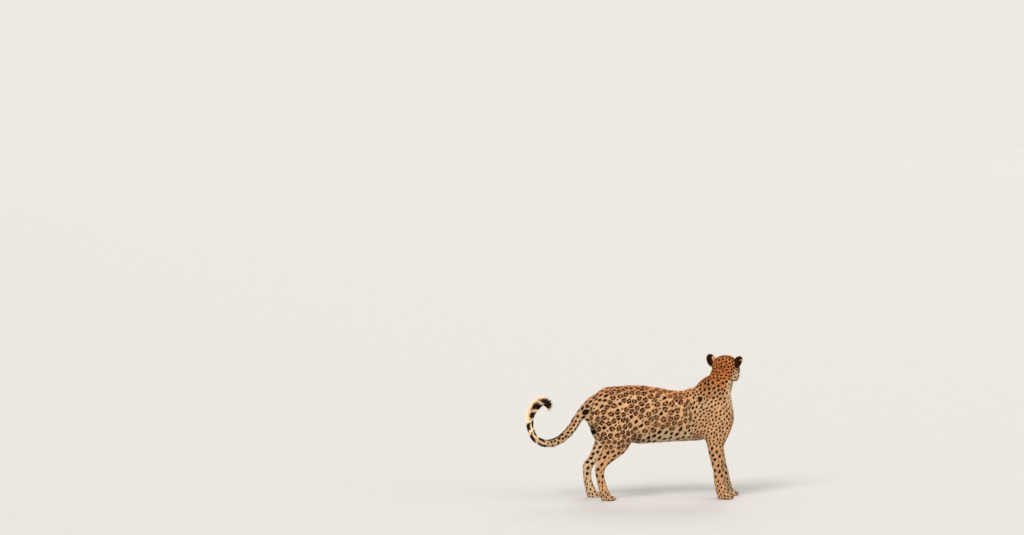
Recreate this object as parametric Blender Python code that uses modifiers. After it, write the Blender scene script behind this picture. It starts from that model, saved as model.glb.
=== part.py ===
"""A leopard standing at ease, life-size, its head turned to its left and its tail curled up at the end.

Metres, +Z up, +X towards the animal's front and +Y towards its left. The floor is Z = 0.

The flesh is made of soft masses: lofts along the spine, the neck, the limbs and the tail, and
ellipsoids for the muscles. Each group of masses (body, head, paws) is fused by a voxel remesh,
smoothed, thinned to few faces, and then parted into its named pieces by cuts GAP wide.
"""

import math
from typing import Callable, NamedTuple

import bmesh
import bpy
import numpy as np
from mathutils import Matrix, Vector

# ---------------------------------------------------------------------------------------------
# Driving dimensions, metres
# ---------------------------------------------------------------------------------------------

GAP = 0.0003  # between two pieces that meet

# Legs: LEFT and RIGHT are the signs of Y.
LEFT, RIGHT = 1, -1
SIDES = {"left": LEFT, "right": RIGHT}
FORE_SPREAD = 0.078  # sideways, from the middle plane to a foreleg's line
HIND_SPREAD = 0.076
FORE_STEP = {LEFT: 0.055, RIGHT: 0.0}  # how far each forepaw is set forward
HIND_STEP = {LEFT: -0.050, RIGHT: 0.010}
ELBOW_CUT = 0.300  # heights of the level cuts across the legs
WRIST_CUT = 0.105
SOLE_DEPTH = 0.004  # the soft pads are pressed flat by this much

# Cuts through the trunk. The arches round the tops of the legs: their middles (X, Z), their radii,
# and how far from the middle plane they reach in.
SHOULDER_ARCH = ((0.300, ELBOW_CUT), (0.128, 0.225), 0.034)
HIP_ARCH = ((-0.255, ELBOW_CUT), (0.160, 0.235), 0.030)
NECK_BASE_AT = Vector((0.300, 0, 0.560))
NECK_BASE_NORMAL = Vector((0.42, 0, 0.90)).normalized()
CHEST_END = 0.135
BELLY_END = -0.070

# Head: where the middle of the skull is, and how it is turned.
SKULL_AT = Vector((0.383, 0.054, 0.718))
HEAD_YAW = math.radians(66)
HEAD_PITCH = math.radians(3)  # nose down
HEAD_ROLL = math.radians(2.5)  # left ear up
EYE_RADIUS = 0.0145
EYE_AT = Vector((0.0560, 0.0348, 0.0165))  # the left eye, from the middle of the skull
NECK_CUT_AT = Vector((0.338, 0.010, 0.660))
NECK_CUT_NORMAL = Vector((0.10, 0.16, 1.0)).normalized()

# Tail: the part of it that the rump keeps, and the lengths that it is parted into.
TAIL_STUB = 0.075
TAIL_PIECES = {"tail_root": 0.26, "tail_middle": 0.50, "tail_bend": 0.72, "tail_tip": 1.0}
TAIL_SIDES = 12
TAIL_STEPS = 400  # points on the tail's line
TAIL_RING = 10  # of them to each ring of faces

# How finely each group is fused, how much it is smoothed, and the faces it is thinned to.
BODY_VOXEL, BODY_ROUNDS, BODY_FACES = 0.0070, 32, 2420
HEAD_VOXEL, HEAD_ROUNDS, HEAD_FACES = 0.0032, 16, 1450
PAW_VOXEL, PAW_ROUNDS, PAW_FACES = 0.0028, 3, 330


class Finish(NamedTuple):
    """The colour and gloss of one kind of surface."""

    colour: tuple
    roughness: float


COAT = Finish((0.52, 0.27, 0.11), 0.80)
RUFOUS = Finish((0.36, 0.14, 0.045), 0.80)
PALE = Finish((0.70, 0.50, 0.32), 0.82)
DARK = Finish((0.030, 0.016, 0.010), 0.75)
LEATHER = Finish((0.14, 0.070, 0.050), 0.50)
AMBER = Finish((0.50, 0.34, 0.08), 0.05)


class Station(NamedTuple):
    """One cross-section of a loft: its middle, and its reach above, below and to each side."""

    at: Vector
    above: float
    below: float
    aside: float
    power: float = 2.2  # 2 is an ellipse, more is squarer


# ---------------------------------------------------------------------------------------------
# Mesh tools
# ---------------------------------------------------------------------------------------------


def smooth_path(values: np.ndarray, where: np.ndarray) -> np.ndarray:
    """Rows of values read between their own places, along a Catmull-Rom curve."""
    last = len(values) - 1
    padded = np.vstack([2 * values[0] - values[1], values, 2 * values[-1] - values[-2]])
    index = np.clip(where.astype(int), 0, last - 1)
    t = (where - index)[:, None]
    before, start, end, after = (padded[index + k] for k in range(4))
    return start + 0.5 * t * (
        end - before + t * (2 * before - 5 * start + 4 * end - after
                            + t * (3 * (start - end) + after - before))
    )


def add_loft(
    shape: bmesh.types.BMesh, stations: list, sideways: list, rings: int, sides: int, ends: tuple = ()
) -> None:
    """Adds a closed tube through the stations.

    sideways holds one direction for all stations, or one each. ends holds the directions in which
    the tube starts and stops, where they matter.
    """
    if len(sideways) == 1:
        sideways = sideways * len(stations)
    rows = np.array([[*s.at, s.above, s.below, s.aside, s.power, *w] for s, w in zip(stations, sideways)])
    rows = smooth_path(rows, np.linspace(0, len(rows) - 1, rings))
    tangents = np.gradient(rows[:, :3], axis=0)
    if ends:
        tangents[0], tangents[-1] = ends
    loops = []
    for row, tangent in zip(rows, tangents):
        along = Vector(tangent).normalized()
        aside = Vector(row[7:10])
        aside = (aside - along * aside.dot(along)).normalized()
        above = along.cross(aside)
        loop = []
        for k in range(sides):
            turn = math.tau * k / sides
            c, s = math.cos(turn), math.sin(turn)
            c = math.copysign(abs(c) ** (2 / row[6]), c)
            s = math.copysign(abs(s) ** (2 / row[6]), s)
            reach = row[3] if s > 0 else row[4]
            loop.append(shape.verts.new(Vector(row[:3]) + aside * c * row[5] + above * s * reach))
        loops.append(loop)
    faces = [shape.faces.new(loops[0]), shape.faces.new(loops[-1])]
    for one, two in zip(loops, loops[1:]):
        for k in range(sides):
            after = (k + 1) % sides
            faces.append(shape.faces.new((one[k], one[after], two[after], two[k])))
    bmesh.ops.recalc_face_normals(shape, faces=faces)


def add_ellipsoid(shape: bmesh.types.BMesh, at: tuple, radii: tuple, turn: tuple = (0, 0, 0)) -> None:
    """Adds an ellipsoid. turn is in degrees about X, Y and Z."""
    angles = [math.radians(a) for a in turn]
    place = Matrix.Translation(at)
    for angle, axis in zip(reversed(angles), "ZYX"):
        place = place @ Matrix.Rotation(angle, 4, axis)
    place = place @ Matrix.Diagonal((*radii, 1))
    bmesh.ops.create_uvsphere(shape, u_segments=24, v_segments=16, radius=1, matrix=place)


def mesh_of(shape: bmesh.types.BMesh, name: str) -> bpy.types.Mesh:
    """The finished mesh of a bmesh, which is freed."""
    mesh = bpy.data.meshes.new(name)
    shape.to_mesh(mesh)
    shape.free()
    return mesh


def object_of(mesh: bpy.types.Mesh, name: str) -> bpy.types.Object:
    """An object in the leopard's own collection."""
    thing = bpy.data.objects.new(name, mesh)
    bpy.data.collections["leopard"].objects.link(thing)
    return thing


def with_modifiers(mesh: bpy.types.Mesh, settings: list) -> bpy.types.Mesh:
    """The mesh that a stack of modifiers makes of another, each given as (type, settings)."""
    thing = object_of(mesh, "work")
    for kind, values in settings:
        modifier = thing.modifiers.new(kind.lower(), kind)
        for key, value in values.items():
            setattr(modifier, key, value)
    graph = bpy.context.evaluated_depsgraph_get()
    made = bpy.data.meshes.new_from_object(thing.evaluated_get(graph))
    bpy.data.objects.remove(thing)
    return made


def soften(mesh: bpy.types.Mesh, rounds: int) -> None:
    """Fills the creases between the masses, then smooths the whole without shrinking it."""
    points = np.empty(len(mesh.vertices) * 3)
    mesh.vertices.foreach_get("co", points)
    points = points.reshape(-1, 3)
    ends = np.empty(len(mesh.edges) * 2, int)
    mesh.edges.foreach_get("vertices", ends)
    one, two = ends.reshape(-1, 2).T
    count = np.maximum(np.bincount(ends, minlength=len(points)), 1)[:, None]
    normals = np.empty_like(points)

    def step_to_neighbours() -> np.ndarray:
        around = np.zeros_like(points)
        for axis in range(3):
            around[:, axis] = np.bincount(one, points[two, axis], len(points))
            around[:, axis] += np.bincount(two, points[one, axis], len(points))
        return around / count - points

    for _ in range(rounds):
        mesh.vertices.foreach_set("co", points.ravel())
        mesh.update()
        mesh.vertex_normals.foreach_get("vector", normals.ravel())
        step = step_to_neighbours()
        hollow = (step * normals).sum(axis=1) > 0
        points += 0.5 * step * hollow[:, None]
    for _ in range(4):
        points += 0.55 * step_to_neighbours()
        points -= 0.57 * step_to_neighbours()
    mesh.vertices.foreach_set("co", points.ravel())
    mesh.update()


def fused(shape: bmesh.types.BMesh, name: str, voxel: float, rounds: int, faces: int) -> bpy.types.Mesh:
    """The masses in a bmesh as one smooth closed mesh of about so many triangles."""
    solid = with_modifiers(mesh_of(shape, name), [("REMESH", {"mode": "VOXEL", "voxel_size": voxel})])
    soften(solid, rounds)
    ratio = faces / (2 * len(solid.polygons))
    return with_modifiers(
        solid, [("DECIMATE", {"ratio": ratio}), ("TRIANGULATE", {})]
    )


def cut(mesh: bpy.types.Mesh, cutter: bpy.types.Mesh, operation: str) -> bpy.types.Mesh:
    """A Boolean of a mesh with a cutter."""
    tool = bpy.data.objects.new("cutter", cutter)
    tool.hide_render = True
    tool.display_type = "WIRE"
    bpy.data.collections["cutters"].objects.link(tool)
    made = with_modifiers(mesh, [("BOOLEAN", {"operation": operation, "object": tool})])
    bpy.data.objects.remove(tool)
    return made


def parted(mesh: bpy.types.Mesh, cutter: Callable[[float], bpy.types.Mesh]) -> tuple:
    """The parts of a mesh (inside, outside) of a cutter, which is called with how much to grow it."""
    inside = cut(mesh, cutter(-GAP / 2), "INTERSECT")
    outside = cut(mesh, cutter(GAP / 2), "DIFFERENCE")
    return inside, outside


def box(low: tuple, high: tuple) -> Callable[[float], bpy.types.Mesh]:
    """A cutter between two corners."""

    def grown(by: float) -> bpy.types.Mesh:
        shape = bmesh.new()
        size = [h - l + 2 * by for l, h in zip(low, high)]
        middle = [(h + l) / 2 for l, h in zip(low, high)]
        place = Matrix.Translation(middle) @ Matrix.Diagonal((*size, 1))
        bmesh.ops.create_cube(shape, size=1, matrix=place)
        return mesh_of(shape, "box")

    return grown


def beyond(at: Vector, normal: Vector, reach: float = 3.0) -> Callable[[float], bpy.types.Mesh]:
    """A cutter that holds all that lies beyond a plane, or within reach of a point on it."""

    def grown(by: float) -> bpy.types.Mesh:
        shape = bmesh.new()
        turn = normal.to_track_quat("Z", "Y").to_matrix().to_4x4()
        place = Matrix.Translation(at + normal * (reach / 2 - by)) @ turn
        bmesh.ops.create_cube(shape, size=reach, matrix=place)
        return mesh_of(shape, "half_space")

    return grown


def arch(middle: tuple, radii: tuple, inner: float, side: int) -> Callable[[float], bpy.types.Mesh]:
    """A cutter round the top of a leg: an elliptic disc seen from the side, outside the plane Y = inner."""
    outer = 0.25

    def grown(by: float) -> bpy.types.Mesh:
        shape = bmesh.new()
        depth = outer - inner + by
        place = Matrix.Translation((middle[0], side * (inner - by + depth / 2), middle[1]))
        place = place @ Matrix.Rotation(math.pi / 2, 4, "X")
        place = place @ Matrix.Diagonal((radii[0] + by, radii[1] + by, depth, 1))
        bmesh.ops.create_cone(
            shape, cap_ends=True, segments=24, radius1=1, radius2=1, depth=1, matrix=place
        )
        return mesh_of(shape, "arch")

    return grown


def loose_parts(mesh: bpy.types.Mesh) -> list:
    """Each closed body of a mesh as a mesh of its own, those of no real size left out."""
    least = 1e-7
    shape = bmesh.new()
    shape.from_mesh(mesh)
    shape.faces.ensure_lookup_table()
    seen, found = set(), []
    for face in shape.faces:
        if face.index in seen:
            continue
        group, todo = set(), [face]
        while todo:
            one = todo.pop()
            if one.index in group:
                continue
            group.add(one.index)
            todo += [other for edge in one.edges for other in edge.link_faces]
        seen |= group
        part = shape.copy()
        part.faces.ensure_lookup_table()
        others = [f for f in part.faces if f.index not in group]
        bmesh.ops.delete(part, geom=others, context="FACES")
        if abs(part.calc_volume()) > least:
            found.append(mesh_of(part, mesh.name))
        else:
            part.free()
    shape.free()
    return found


def largest(mesh: bpy.types.Mesh) -> bpy.types.Mesh:
    """The body of a mesh that has the most points."""
    return max(loose_parts(mesh), key=lambda part: len(part.vertices))


def middle_of(mesh: bpy.types.Mesh) -> Vector:
    """The mean of a mesh's points."""
    return sum((v.co for v in mesh.vertices), Vector()) / len(mesh.vertices)


def finished(mesh: bpy.types.Mesh, name: str, finish: Finish) -> bpy.types.Object:
    """A named piece with its own material."""
    thing = object_of(mesh, name)
    mesh.name = name
    material = bpy.data.materials.new(name)
    material.use_nodes = True
    surface = material.node_tree.nodes["Principled BSDF"]
    surface.inputs["Base Color"].default_value = (*finish.colour, 1)
    surface.inputs["Roughness"].default_value = finish.roughness
    surface.inputs["Metallic"].default_value = 0
    mesh.materials.clear()
    mesh.materials.append(material)
    mesh.shade_smooth()
    mesh.set_sharp_from_angle(angle=math.radians(50))
    return thing


# ---------------------------------------------------------------------------------------------
# Body
# ---------------------------------------------------------------------------------------------


def trunk_stations() -> list:
    """The trunk from the seat to the chest, each row: X, back, underline, half width, power."""
    rows = (
        (-0.398, 0.560, 0.455, 0.036, 2.0),
        (-0.375, 0.584, 0.415, 0.062, 2.1),
        (-0.330, 0.606, 0.385, 0.082, 2.2),
        (-0.270, 0.628, 0.372, 0.090, 2.2),
        (-0.200, 0.636, 0.338, 0.088, 2.3),
        (-0.120, 0.633, 0.307, 0.091, 2.2),
        (-0.030, 0.621, 0.309, 0.100, 2.2),
        (0.060, 0.605, 0.315, 0.106, 2.2),
        (0.140, 0.601, 0.317, 0.106, 2.2),
        (0.220, 0.612, 0.322, 0.099, 2.3),
        (0.290, 0.600, 0.338, 0.090, 2.2),
        (0.350, 0.575, 0.350, 0.076, 2.1),
        (0.396, 0.550, 0.380, 0.055, 2.0),
        (0.416, 0.512, 0.420, 0.029, 2.0),
    )
    return [
        Station(Vector((x, 0, (top + low) / 2)), (top - low) / 2, (top - low) / 2, half, power)
        for x, top, low, half, power in rows
    ]


def neck_stations() -> tuple:
    """The neck from inside the chest into the skull, and the sideways direction at each station."""
    rows = (
        ((0.244, 0.000, 0.470), 0.125, 0.085, 0),
        ((0.290, 0.000, 0.545), 0.126, 0.084, 4),
        ((0.318, 0.001, 0.605), 0.101, 0.076, 14),
        ((0.346, 0.008, 0.652), 0.074, 0.068, 32),
        ((0.358, 0.022, 0.690), 0.066, 0.063, 50),
        ((0.366, 0.036, 0.718), 0.058, 0.058, 62),
    )
    stations = [Station(Vector(at), deep, deep, wide, 2.1) for at, deep, wide, _ in rows]
    sideways = []
    for *_, yaw in rows:
        turn = Matrix.Rotation(math.radians(yaw), 3, "Z")
        sideways.append(turn @ Vector((0, 1, 0)))
    return stations, sideways


def leg_stations(rows: tuple, side: int, spread: float, step: float, top: float) -> list:
    """A leg's stations. Each row: X, Z, half depth, half width, and how far it stands out sideways.

    The step carries the paw forward, and the rest of the leg the less, the higher it is.
    """
    stations = []
    for x, z, deep, wide, out in rows:
        carried = step * min(1, max(0, (top - z) / (top - WRIST_CUT)))
        at = Vector((x + carried, side * (spread + out), z))
        stations.append(Station(at, deep, deep, wide, 2.1))
    return stations


def foreleg_stations(side: int) -> list:
    """The foreleg from the point of the shoulder to the top of the paw."""
    rows = (
        (0.330, 0.500, 0.062, 0.030, -0.010),
        (0.334, 0.440, 0.070, 0.038, 0.000),
        (0.320, 0.380, 0.064, 0.038, 0.004),
        (0.306, 0.325, 0.053, 0.036, 0.004),
        (0.306, 0.275, 0.044, 0.034, 0.002),
        (0.313, 0.215, 0.036, 0.031, 0.000),
        (0.320, 0.160, 0.030, 0.029, 0.000),
        (0.324, 0.125, 0.030, 0.031, 0.000),
        (0.329, 0.085, 0.029, 0.033, 0.001),
        (0.338, 0.050, 0.030, 0.033, 0.002),
        (0.344, 0.022, 0.026, 0.028, 0.002),
    )
    return leg_stations(rows, side, FORE_SPREAD, FORE_STEP[side], 0.42)


def hindleg_stations(side: int) -> list:
    """The hind leg from the hip to the top of the paw."""
    rows = (
        (-0.285, 0.520, 0.085, 0.036, -0.018),
        (-0.272, 0.455, 0.100, 0.044, -0.006),
        (-0.262, 0.400, 0.104, 0.043, 0.002),
        (-0.255, 0.350, 0.093, 0.039, 0.006),
        (-0.266, 0.305, 0.073, 0.034, 0.006),
        (-0.295, 0.260, 0.050, 0.028, 0.003),
        (-0.326, 0.215, 0.031, 0.023, 0.000),
        (-0.350, 0.180, 0.029, 0.023, 0.000),
        (-0.352, 0.145, 0.025, 0.023, 0.000),
        (-0.343, 0.095, 0.023, 0.025, 0.000),
        (-0.331, 0.050, 0.026, 0.028, 0.002),
        (-0.324, 0.022, 0.023, 0.025, 0.002),
    )
    return leg_stations(rows, side, HIND_SPREAD, HIND_STEP[side], 0.46)


def add_legs(shape: bmesh.types.BMesh) -> None:
    """The four legs as lofts."""
    for side in SIDES.values():
        add_loft(shape, foreleg_stations(side), [Vector((0, 1, 0))], 44, 24)
        add_loft(shape, hindleg_stations(side), [Vector((0, 1, 0))], 48, 24)


def add_muscles(shape: bmesh.types.BMesh) -> None:
    """The muscles and bones that show under the coat."""
    for side in SIDES.values():
        fore, hind = 0.35 * FORE_STEP[side], 0.35 * HIND_STEP[side]
        out = side * 1.0
        # Shoulder blade, its upper edge at the withers, the point of the shoulder and the upper arm.
        add_ellipsoid(shape, (0.268, out * 0.068, 0.520), (0.052, 0.030, 0.108), (side * 14, 32, 0))
        add_ellipsoid(shape, (0.208, out * 0.030, 0.582), (0.055, 0.026, 0.030), (0, 20, 0))
        add_ellipsoid(shape, (0.352 + fore / 2, out * 0.070, 0.462), (0.045, 0.032, 0.060))
        add_ellipsoid(shape, (0.276 + fore, out * 0.084, 0.385), (0.060, 0.034, 0.074), (0, -28, 0))
        # Thigh, buttock, hamstrings and knee.
        add_ellipsoid(shape, (-0.268 + hind, out * 0.070, 0.455), (0.098, 0.042, 0.112), (0, -16, 0))
        add_ellipsoid(shape, (-0.345 + hind, out * 0.052, 0.470), (0.048, 0.040, 0.090), (0, -6, 0))
        add_ellipsoid(shape, (-0.318 + hind, out * 0.068, 0.410), (0.047, 0.034, 0.085), (0, 4, 0))
        add_ellipsoid(shape, (-0.206 + hind, out * 0.082, 0.360), (0.046, 0.034, 0.054), (0, 24, 0))
    # Breast.
    add_ellipsoid(shape, (0.350, 0, 0.422), (0.058, 0.066, 0.084))


def tail_rows() -> np.ndarray:
    """The tail's line from inside the rump to its end, each row: X, Y, Z, radius."""
    return np.array((
        (-0.330, 0.000, 0.560, 0.040),
        (-0.378, 0.000, 0.532, 0.037),
        (-0.424, -0.002, 0.492, 0.031),
        (-0.460, -0.006, 0.444, 0.028),
        (-0.496, -0.011, 0.392, 0.0265),
        (-0.543, -0.017, 0.345, 0.0255),
        (-0.600, -0.022, 0.318, 0.0240),
        (-0.656, -0.026, 0.319, 0.0225),
        (-0.699, -0.028, 0.346, 0.0215),
        (-0.722, -0.028, 0.391, 0.0210),
        (-0.728, -0.026, 0.440, 0.0215),
        (-0.717, -0.022, 0.489, 0.0225),
        (-0.690, -0.018, 0.530, 0.0225),
        (-0.657, -0.014, 0.547, 0.0210),
        (-0.634, -0.012, 0.537, 0.0190),
        (-0.624, -0.012, 0.519, 0.0150),
        (-0.622, -0.012, 0.505, 0.0060),
    ))


def tail_line(rings: int) -> np.ndarray:
    """The tail's rows at even steps along its length."""
    rows = tail_rows()
    fine = smooth_path(rows, np.linspace(0, len(rows) - 1, 40 * len(rows)))
    steps = np.linalg.norm(np.diff(fine[:, :3], axis=0), axis=1)
    length = np.concatenate([[0], np.cumsum(steps)])
    wanted = np.linspace(0, length[-1], rings)
    return np.stack([np.interp(wanted, length, column) for column in fine.T], axis=1)


def tail_stations(rows: np.ndarray) -> list:
    """Stations of rows of the tail's line."""
    return [Station(Vector(row[:3]), row[3], row[3], row[3], 2.0) for row in rows]


def make_body() -> bpy.types.Mesh:
    """Trunk, neck, the root of the tail and the legs, as one mesh."""
    across = Vector((0, 1, 0))
    shape = bmesh.new()
    add_loft(shape, trunk_stations(), [across], 72, 40)
    stations, sideways = neck_stations()
    add_loft(shape, stations, sideways, 40, 32)
    add_legs(shape)
    add_muscles(shape)
    add_loft(shape, tail_stations(tail_line(60)[:17]), [across], 20, 20)
    return fused(shape, "body", BODY_VOXEL, BODY_ROUNDS, BODY_FACES)


# ---------------------------------------------------------------------------------------------
# Head
# ---------------------------------------------------------------------------------------------


def head_matrix() -> Matrix:
    """From the head's own axes (X to the nose, Y to its left, Z up) to the figure's."""
    return (
        Matrix.Translation(SKULL_AT)
        @ Matrix.Rotation(HEAD_YAW, 4, "Z")
        @ Matrix.Rotation(HEAD_PITCH, 4, "Y")
        @ Matrix.Rotation(HEAD_ROLL, 4, "X")
    )


def skull_stations() -> list:
    """The head from the nape to the nose, each row: X, crown, underline, half width, power."""
    rows = (
        (-0.104, 0.022, -0.032, 0.026, 2.0),
        (-0.090, 0.046, -0.054, 0.048, 2.1),
        (-0.064, 0.064, -0.066, 0.064, 2.2),
        (-0.032, 0.073, -0.071, 0.071, 2.2),
        (0.000, 0.073, -0.073, 0.071, 2.2),
        (0.024, 0.067, -0.072, 0.065, 2.1),
        (0.042, 0.057, -0.071, 0.053, 2.1),
        (0.057, 0.047, -0.070, 0.036, 2.0),
        (0.072, 0.037, -0.069, 0.027, 2.0),
        (0.090, 0.0255, -0.067, 0.025, 2.2),
        (0.106, 0.0165, -0.064, 0.025, 2.3),
        (0.120, 0.008, -0.059, 0.024, 2.3),
        (0.130, -0.001, -0.051, 0.019, 2.2),
        (0.135, -0.010, -0.041, 0.012, 2.0),
    )
    return [
        Station(Vector((x, 0, (top + low) / 2)), (top - low) / 2, (top - low) / 2, half, power)
        for x, top, low, half, power in rows
    ]


def add_face(shape: bmesh.types.BMesh) -> None:
    """Cheeks, brows, the bridge of the nose, the whisker pads and the chin."""
    for side in SIDES.values():
        add_ellipsoid(shape, (0.016, side * 0.050, -0.006), (0.046, 0.027, 0.032), (0, 0, -side * 14))
        add_ellipsoid(shape, (-0.018, side * 0.050, -0.036), (0.050, 0.032, 0.038))
        add_ellipsoid(shape, (0.047, side * 0.030, 0.0375), (0.024, 0.019, 0.0125), (0, 26, -side * 14))
        add_ellipsoid(shape, (0.047, side * 0.033, -0.012), (0.032, 0.020, 0.020), (0, 10, -side * 22))
        add_ellipsoid(shape, (0.037, side * 0.044, 0.0150), (0.019, 0.0115, 0.0170), (0, 0, -side * 20))
        add_ellipsoid(shape, (0.060, side * 0.024, -0.042), (0.044, 0.021, 0.026), (0, 0, -side * 14))
        add_ellipsoid(shape, (0.106, side * 0.0200, -0.0290), (0.029, 0.0205, 0.0215), (0, 0, -side * 10))
    add_ellipsoid(shape, (0.090, 0, 0.0085), (0.050, 0.0180, 0.0140), (0, 30, 0))
    add_ellipsoid(shape, (0.108, 0, -0.0550), (0.0230, 0.0215, 0.0155), (0, -6, 0))
    add_ellipsoid(shape, (0.020, 0, -0.056), (0.074, 0.044, 0.024), (0, 2, 0))


def make_head() -> bpy.types.Mesh:
    """Skull, face and the top of the neck, as one mesh."""
    shape = bmesh.new()
    add_loft(shape, skull_stations(), [Vector((0, 1, 0))], 60, 36)
    add_face(shape)
    bmesh.ops.transform(shape, matrix=head_matrix(), verts=shape.verts)
    stations, sideways = neck_stations()
    add_loft(shape, stations[2:], sideways[2:], 30, 32)
    return fused(shape, "head", HEAD_VOXEL, HEAD_ROUNDS, HEAD_FACES)


def eye_place(side: int) -> Matrix:
    """Where an eye is, its own X along its line of sight."""
    outward, upward = math.radians(20), math.radians(-5)
    at = Vector((EYE_AT.x, side * EYE_AT.y, EYE_AT.z))
    look = Matrix.Rotation(side * outward, 4, "Z") @ Matrix.Rotation(upward, 4, "Y")
    return head_matrix() @ Matrix.Translation(at) @ look


def eyeball(side: int, grown: float) -> bpy.types.Mesh:
    """An eyeball, its poles along its line of sight."""
    shape = bmesh.new()
    place = eye_place(side) @ Matrix.Rotation(math.pi / 2, 4, "Y")
    bmesh.ops.create_uvsphere(
        shape, u_segments=12, v_segments=8, radius=EYE_RADIUS + grown, matrix=place
    )
    return mesh_of(shape, "eyeball")


def ear_place(side: int) -> Matrix:
    """Where an ear's middle is, its own Z up the ear and its X out of the cup."""
    lean, splay, back = math.radians(34), math.radians(36), math.radians(8)
    return (
        head_matrix()
        @ Matrix.Translation((-0.036, side * 0.075, 0.037))
        @ Matrix.Rotation(-side * lean, 4, "X")
        @ Matrix.Rotation(side * splay, 4, "Z")
        @ Matrix.Rotation(-back, 4, "Y")
    )


def make_ear(side: int, head: bpy.types.Mesh) -> bpy.types.Mesh:
    """An ear: the back half of an egg, hollowed from the front, less the head that it stands on."""
    radii, cup_radii, cup_at = (0.0240, 0.0285, 0.0410), (0.0190, 0.0235, 0.0360), 0.0020
    shape = bmesh.new()
    egg = Matrix.Diagonal((*radii, 1))
    bmesh.ops.create_uvsphere(shape, u_segments=16, v_segments=10, radius=1, matrix=egg)
    geometry = shape.verts[:] + shape.edges[:] + shape.faces[:]
    made = bmesh.ops.bisect_plane(
        shape, geom=geometry, plane_co=(0.003, 0, 0), plane_no=(1, 0, -0.10), clear_outer=True
    )
    rim = [edge for edge in made["geom_cut"] if isinstance(edge, bmesh.types.BMEdge)]
    bmesh.ops.edgeloop_fill(shape, edges=rim)
    bmesh.ops.recalc_face_normals(shape, faces=shape.faces)
    bmesh.ops.transform(shape, matrix=ear_place(side), verts=shape.verts)
    cup = bmesh.new()
    place = ear_place(side) @ Matrix.Translation((cup_at, 0, 0)) @ Matrix.Diagonal((*cup_radii, 1))
    bmesh.ops.create_uvsphere(cup, u_segments=12, v_segments=8, radius=1, matrix=place)
    ear = cut(mesh_of(shape, "ear"), mesh_of(cup, "cup"), "DIFFERENCE")
    return largest(cut(ear, moved_out(head, GAP), "DIFFERENCE"))


def make_nose(head: bpy.types.Mesh) -> bpy.types.Mesh:
    """The bare nose, less the muzzle that it sits on."""
    shape = bmesh.new()
    bmesh.ops.create_uvsphere(
        shape, u_segments=12, v_segments=8, radius=1,
        matrix=Matrix.Translation((0.1265, 0, -0.0135)) @ Matrix.Rotation(math.radians(12), 4, "Y")
        @ Matrix.Diagonal((0.0100, 0.0175, 0.0115, 1)),
    )
    bmesh.ops.transform(shape, matrix=head_matrix(), verts=shape.verts)
    return largest(cut(mesh_of(shape, "nose"), moved_out(head, GAP), "DIFFERENCE"))


def moved_out(mesh: bpy.types.Mesh, by: float) -> bpy.types.Mesh:
    """A copy of a mesh, grown along its normals."""
    return with_modifiers(mesh.copy(), [("DISPLACE", {"strength": by, "mid_level": 0})])


# ---------------------------------------------------------------------------------------------
# Paws
# ---------------------------------------------------------------------------------------------


def add_paw(shape: bmesh.types.BMesh, at: Vector, side: int, size: float) -> None:
    """Four toes in an arc, the ball of the foot behind them, and the instep over both."""
    turn_out = math.radians(5 * side)
    paw = bmesh.new()
    toes = ((-0.0275, 0.022), (-0.0098, 0.035), (0.0098, 0.035), (0.0275, 0.022))
    for aside, ahead in toes:
        fan = math.degrees(math.atan2(aside, 0.16))
        add_ellipsoid(paw, (ahead, aside, 0.0150), (0.0200, 0.0115, 0.0155), (0, 0, fan))
        add_ellipsoid(paw, (ahead - 0.018, aside * 0.92, 0.0240), (0.0220, 0.0110, 0.0145), (0, 26, fan))
    add_ellipsoid(paw, (-0.006, 0, 0.0150), (0.0310, 0.0310, 0.0190))
    add_ellipsoid(paw, (-0.002, 0, 0.0310), (0.0350, 0.0310, 0.0230), (0, 18, 0))
    add_ellipsoid(paw, (-0.014, 0, 0.0470), (0.0310, 0.0310, 0.0300), (0, 20, 0))
    place = Matrix.Translation(at) @ Matrix.Rotation(turn_out, 4, "Z") @ Matrix.Scale(size, 4)
    bmesh.ops.transform(paw, matrix=place, verts=paw.verts)
    mesh = mesh_of(paw, "toes")
    shape.from_mesh(mesh)
    bpy.data.meshes.remove(mesh)


def paw_places() -> dict:
    """Each paw: its name, the leg it ends, where its ball is, and its size."""
    places = {}
    for word, side in SIDES.items():
        fore, hind = foreleg_stations(side), hindleg_stations(side)
        fore_at = Vector((fore[-1].at.x + 0.008, fore[-1].at.y, -SOLE_DEPTH))
        hind_at = Vector((hind[-1].at.x + 0.010, hind[-1].at.y, -SOLE_DEPTH))
        places[f"forepaw_{word}"] = (fore, fore_at, side, 1.0)
        places[f"hindpaw_{word}"] = (hind, hind_at, side, 0.93)
    return places


def make_paws() -> None:
    """The four paws, flat under the soles and cut level across the leg."""
    for name, (stations, at, side, size) in paw_places().items():
        shape = bmesh.new()
        add_loft(shape, stations[-6:], [Vector((0, 1, 0))], 24, 24)
        if name.startswith("forepaw"):
            dewclaw = (at.x - 0.022, at.y - side * 0.027, 0.066)
            add_ellipsoid(shape, dewclaw, (0.014, 0.009, 0.016), (0, 20, 0))
        add_paw(shape, at, side, size)
        mesh = fused(shape, name, PAW_VOXEL, PAW_ROUNDS, PAW_FACES)
        above_floor = box((-1, -1, 0), (1, 1, WRIST_CUT - GAP / 2))
        mesh = cut(mesh, above_floor(0), "INTERSECT")
        finished(mesh, name, COAT)


# ---------------------------------------------------------------------------------------------
# Parting and assembly
# ---------------------------------------------------------------------------------------------


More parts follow.
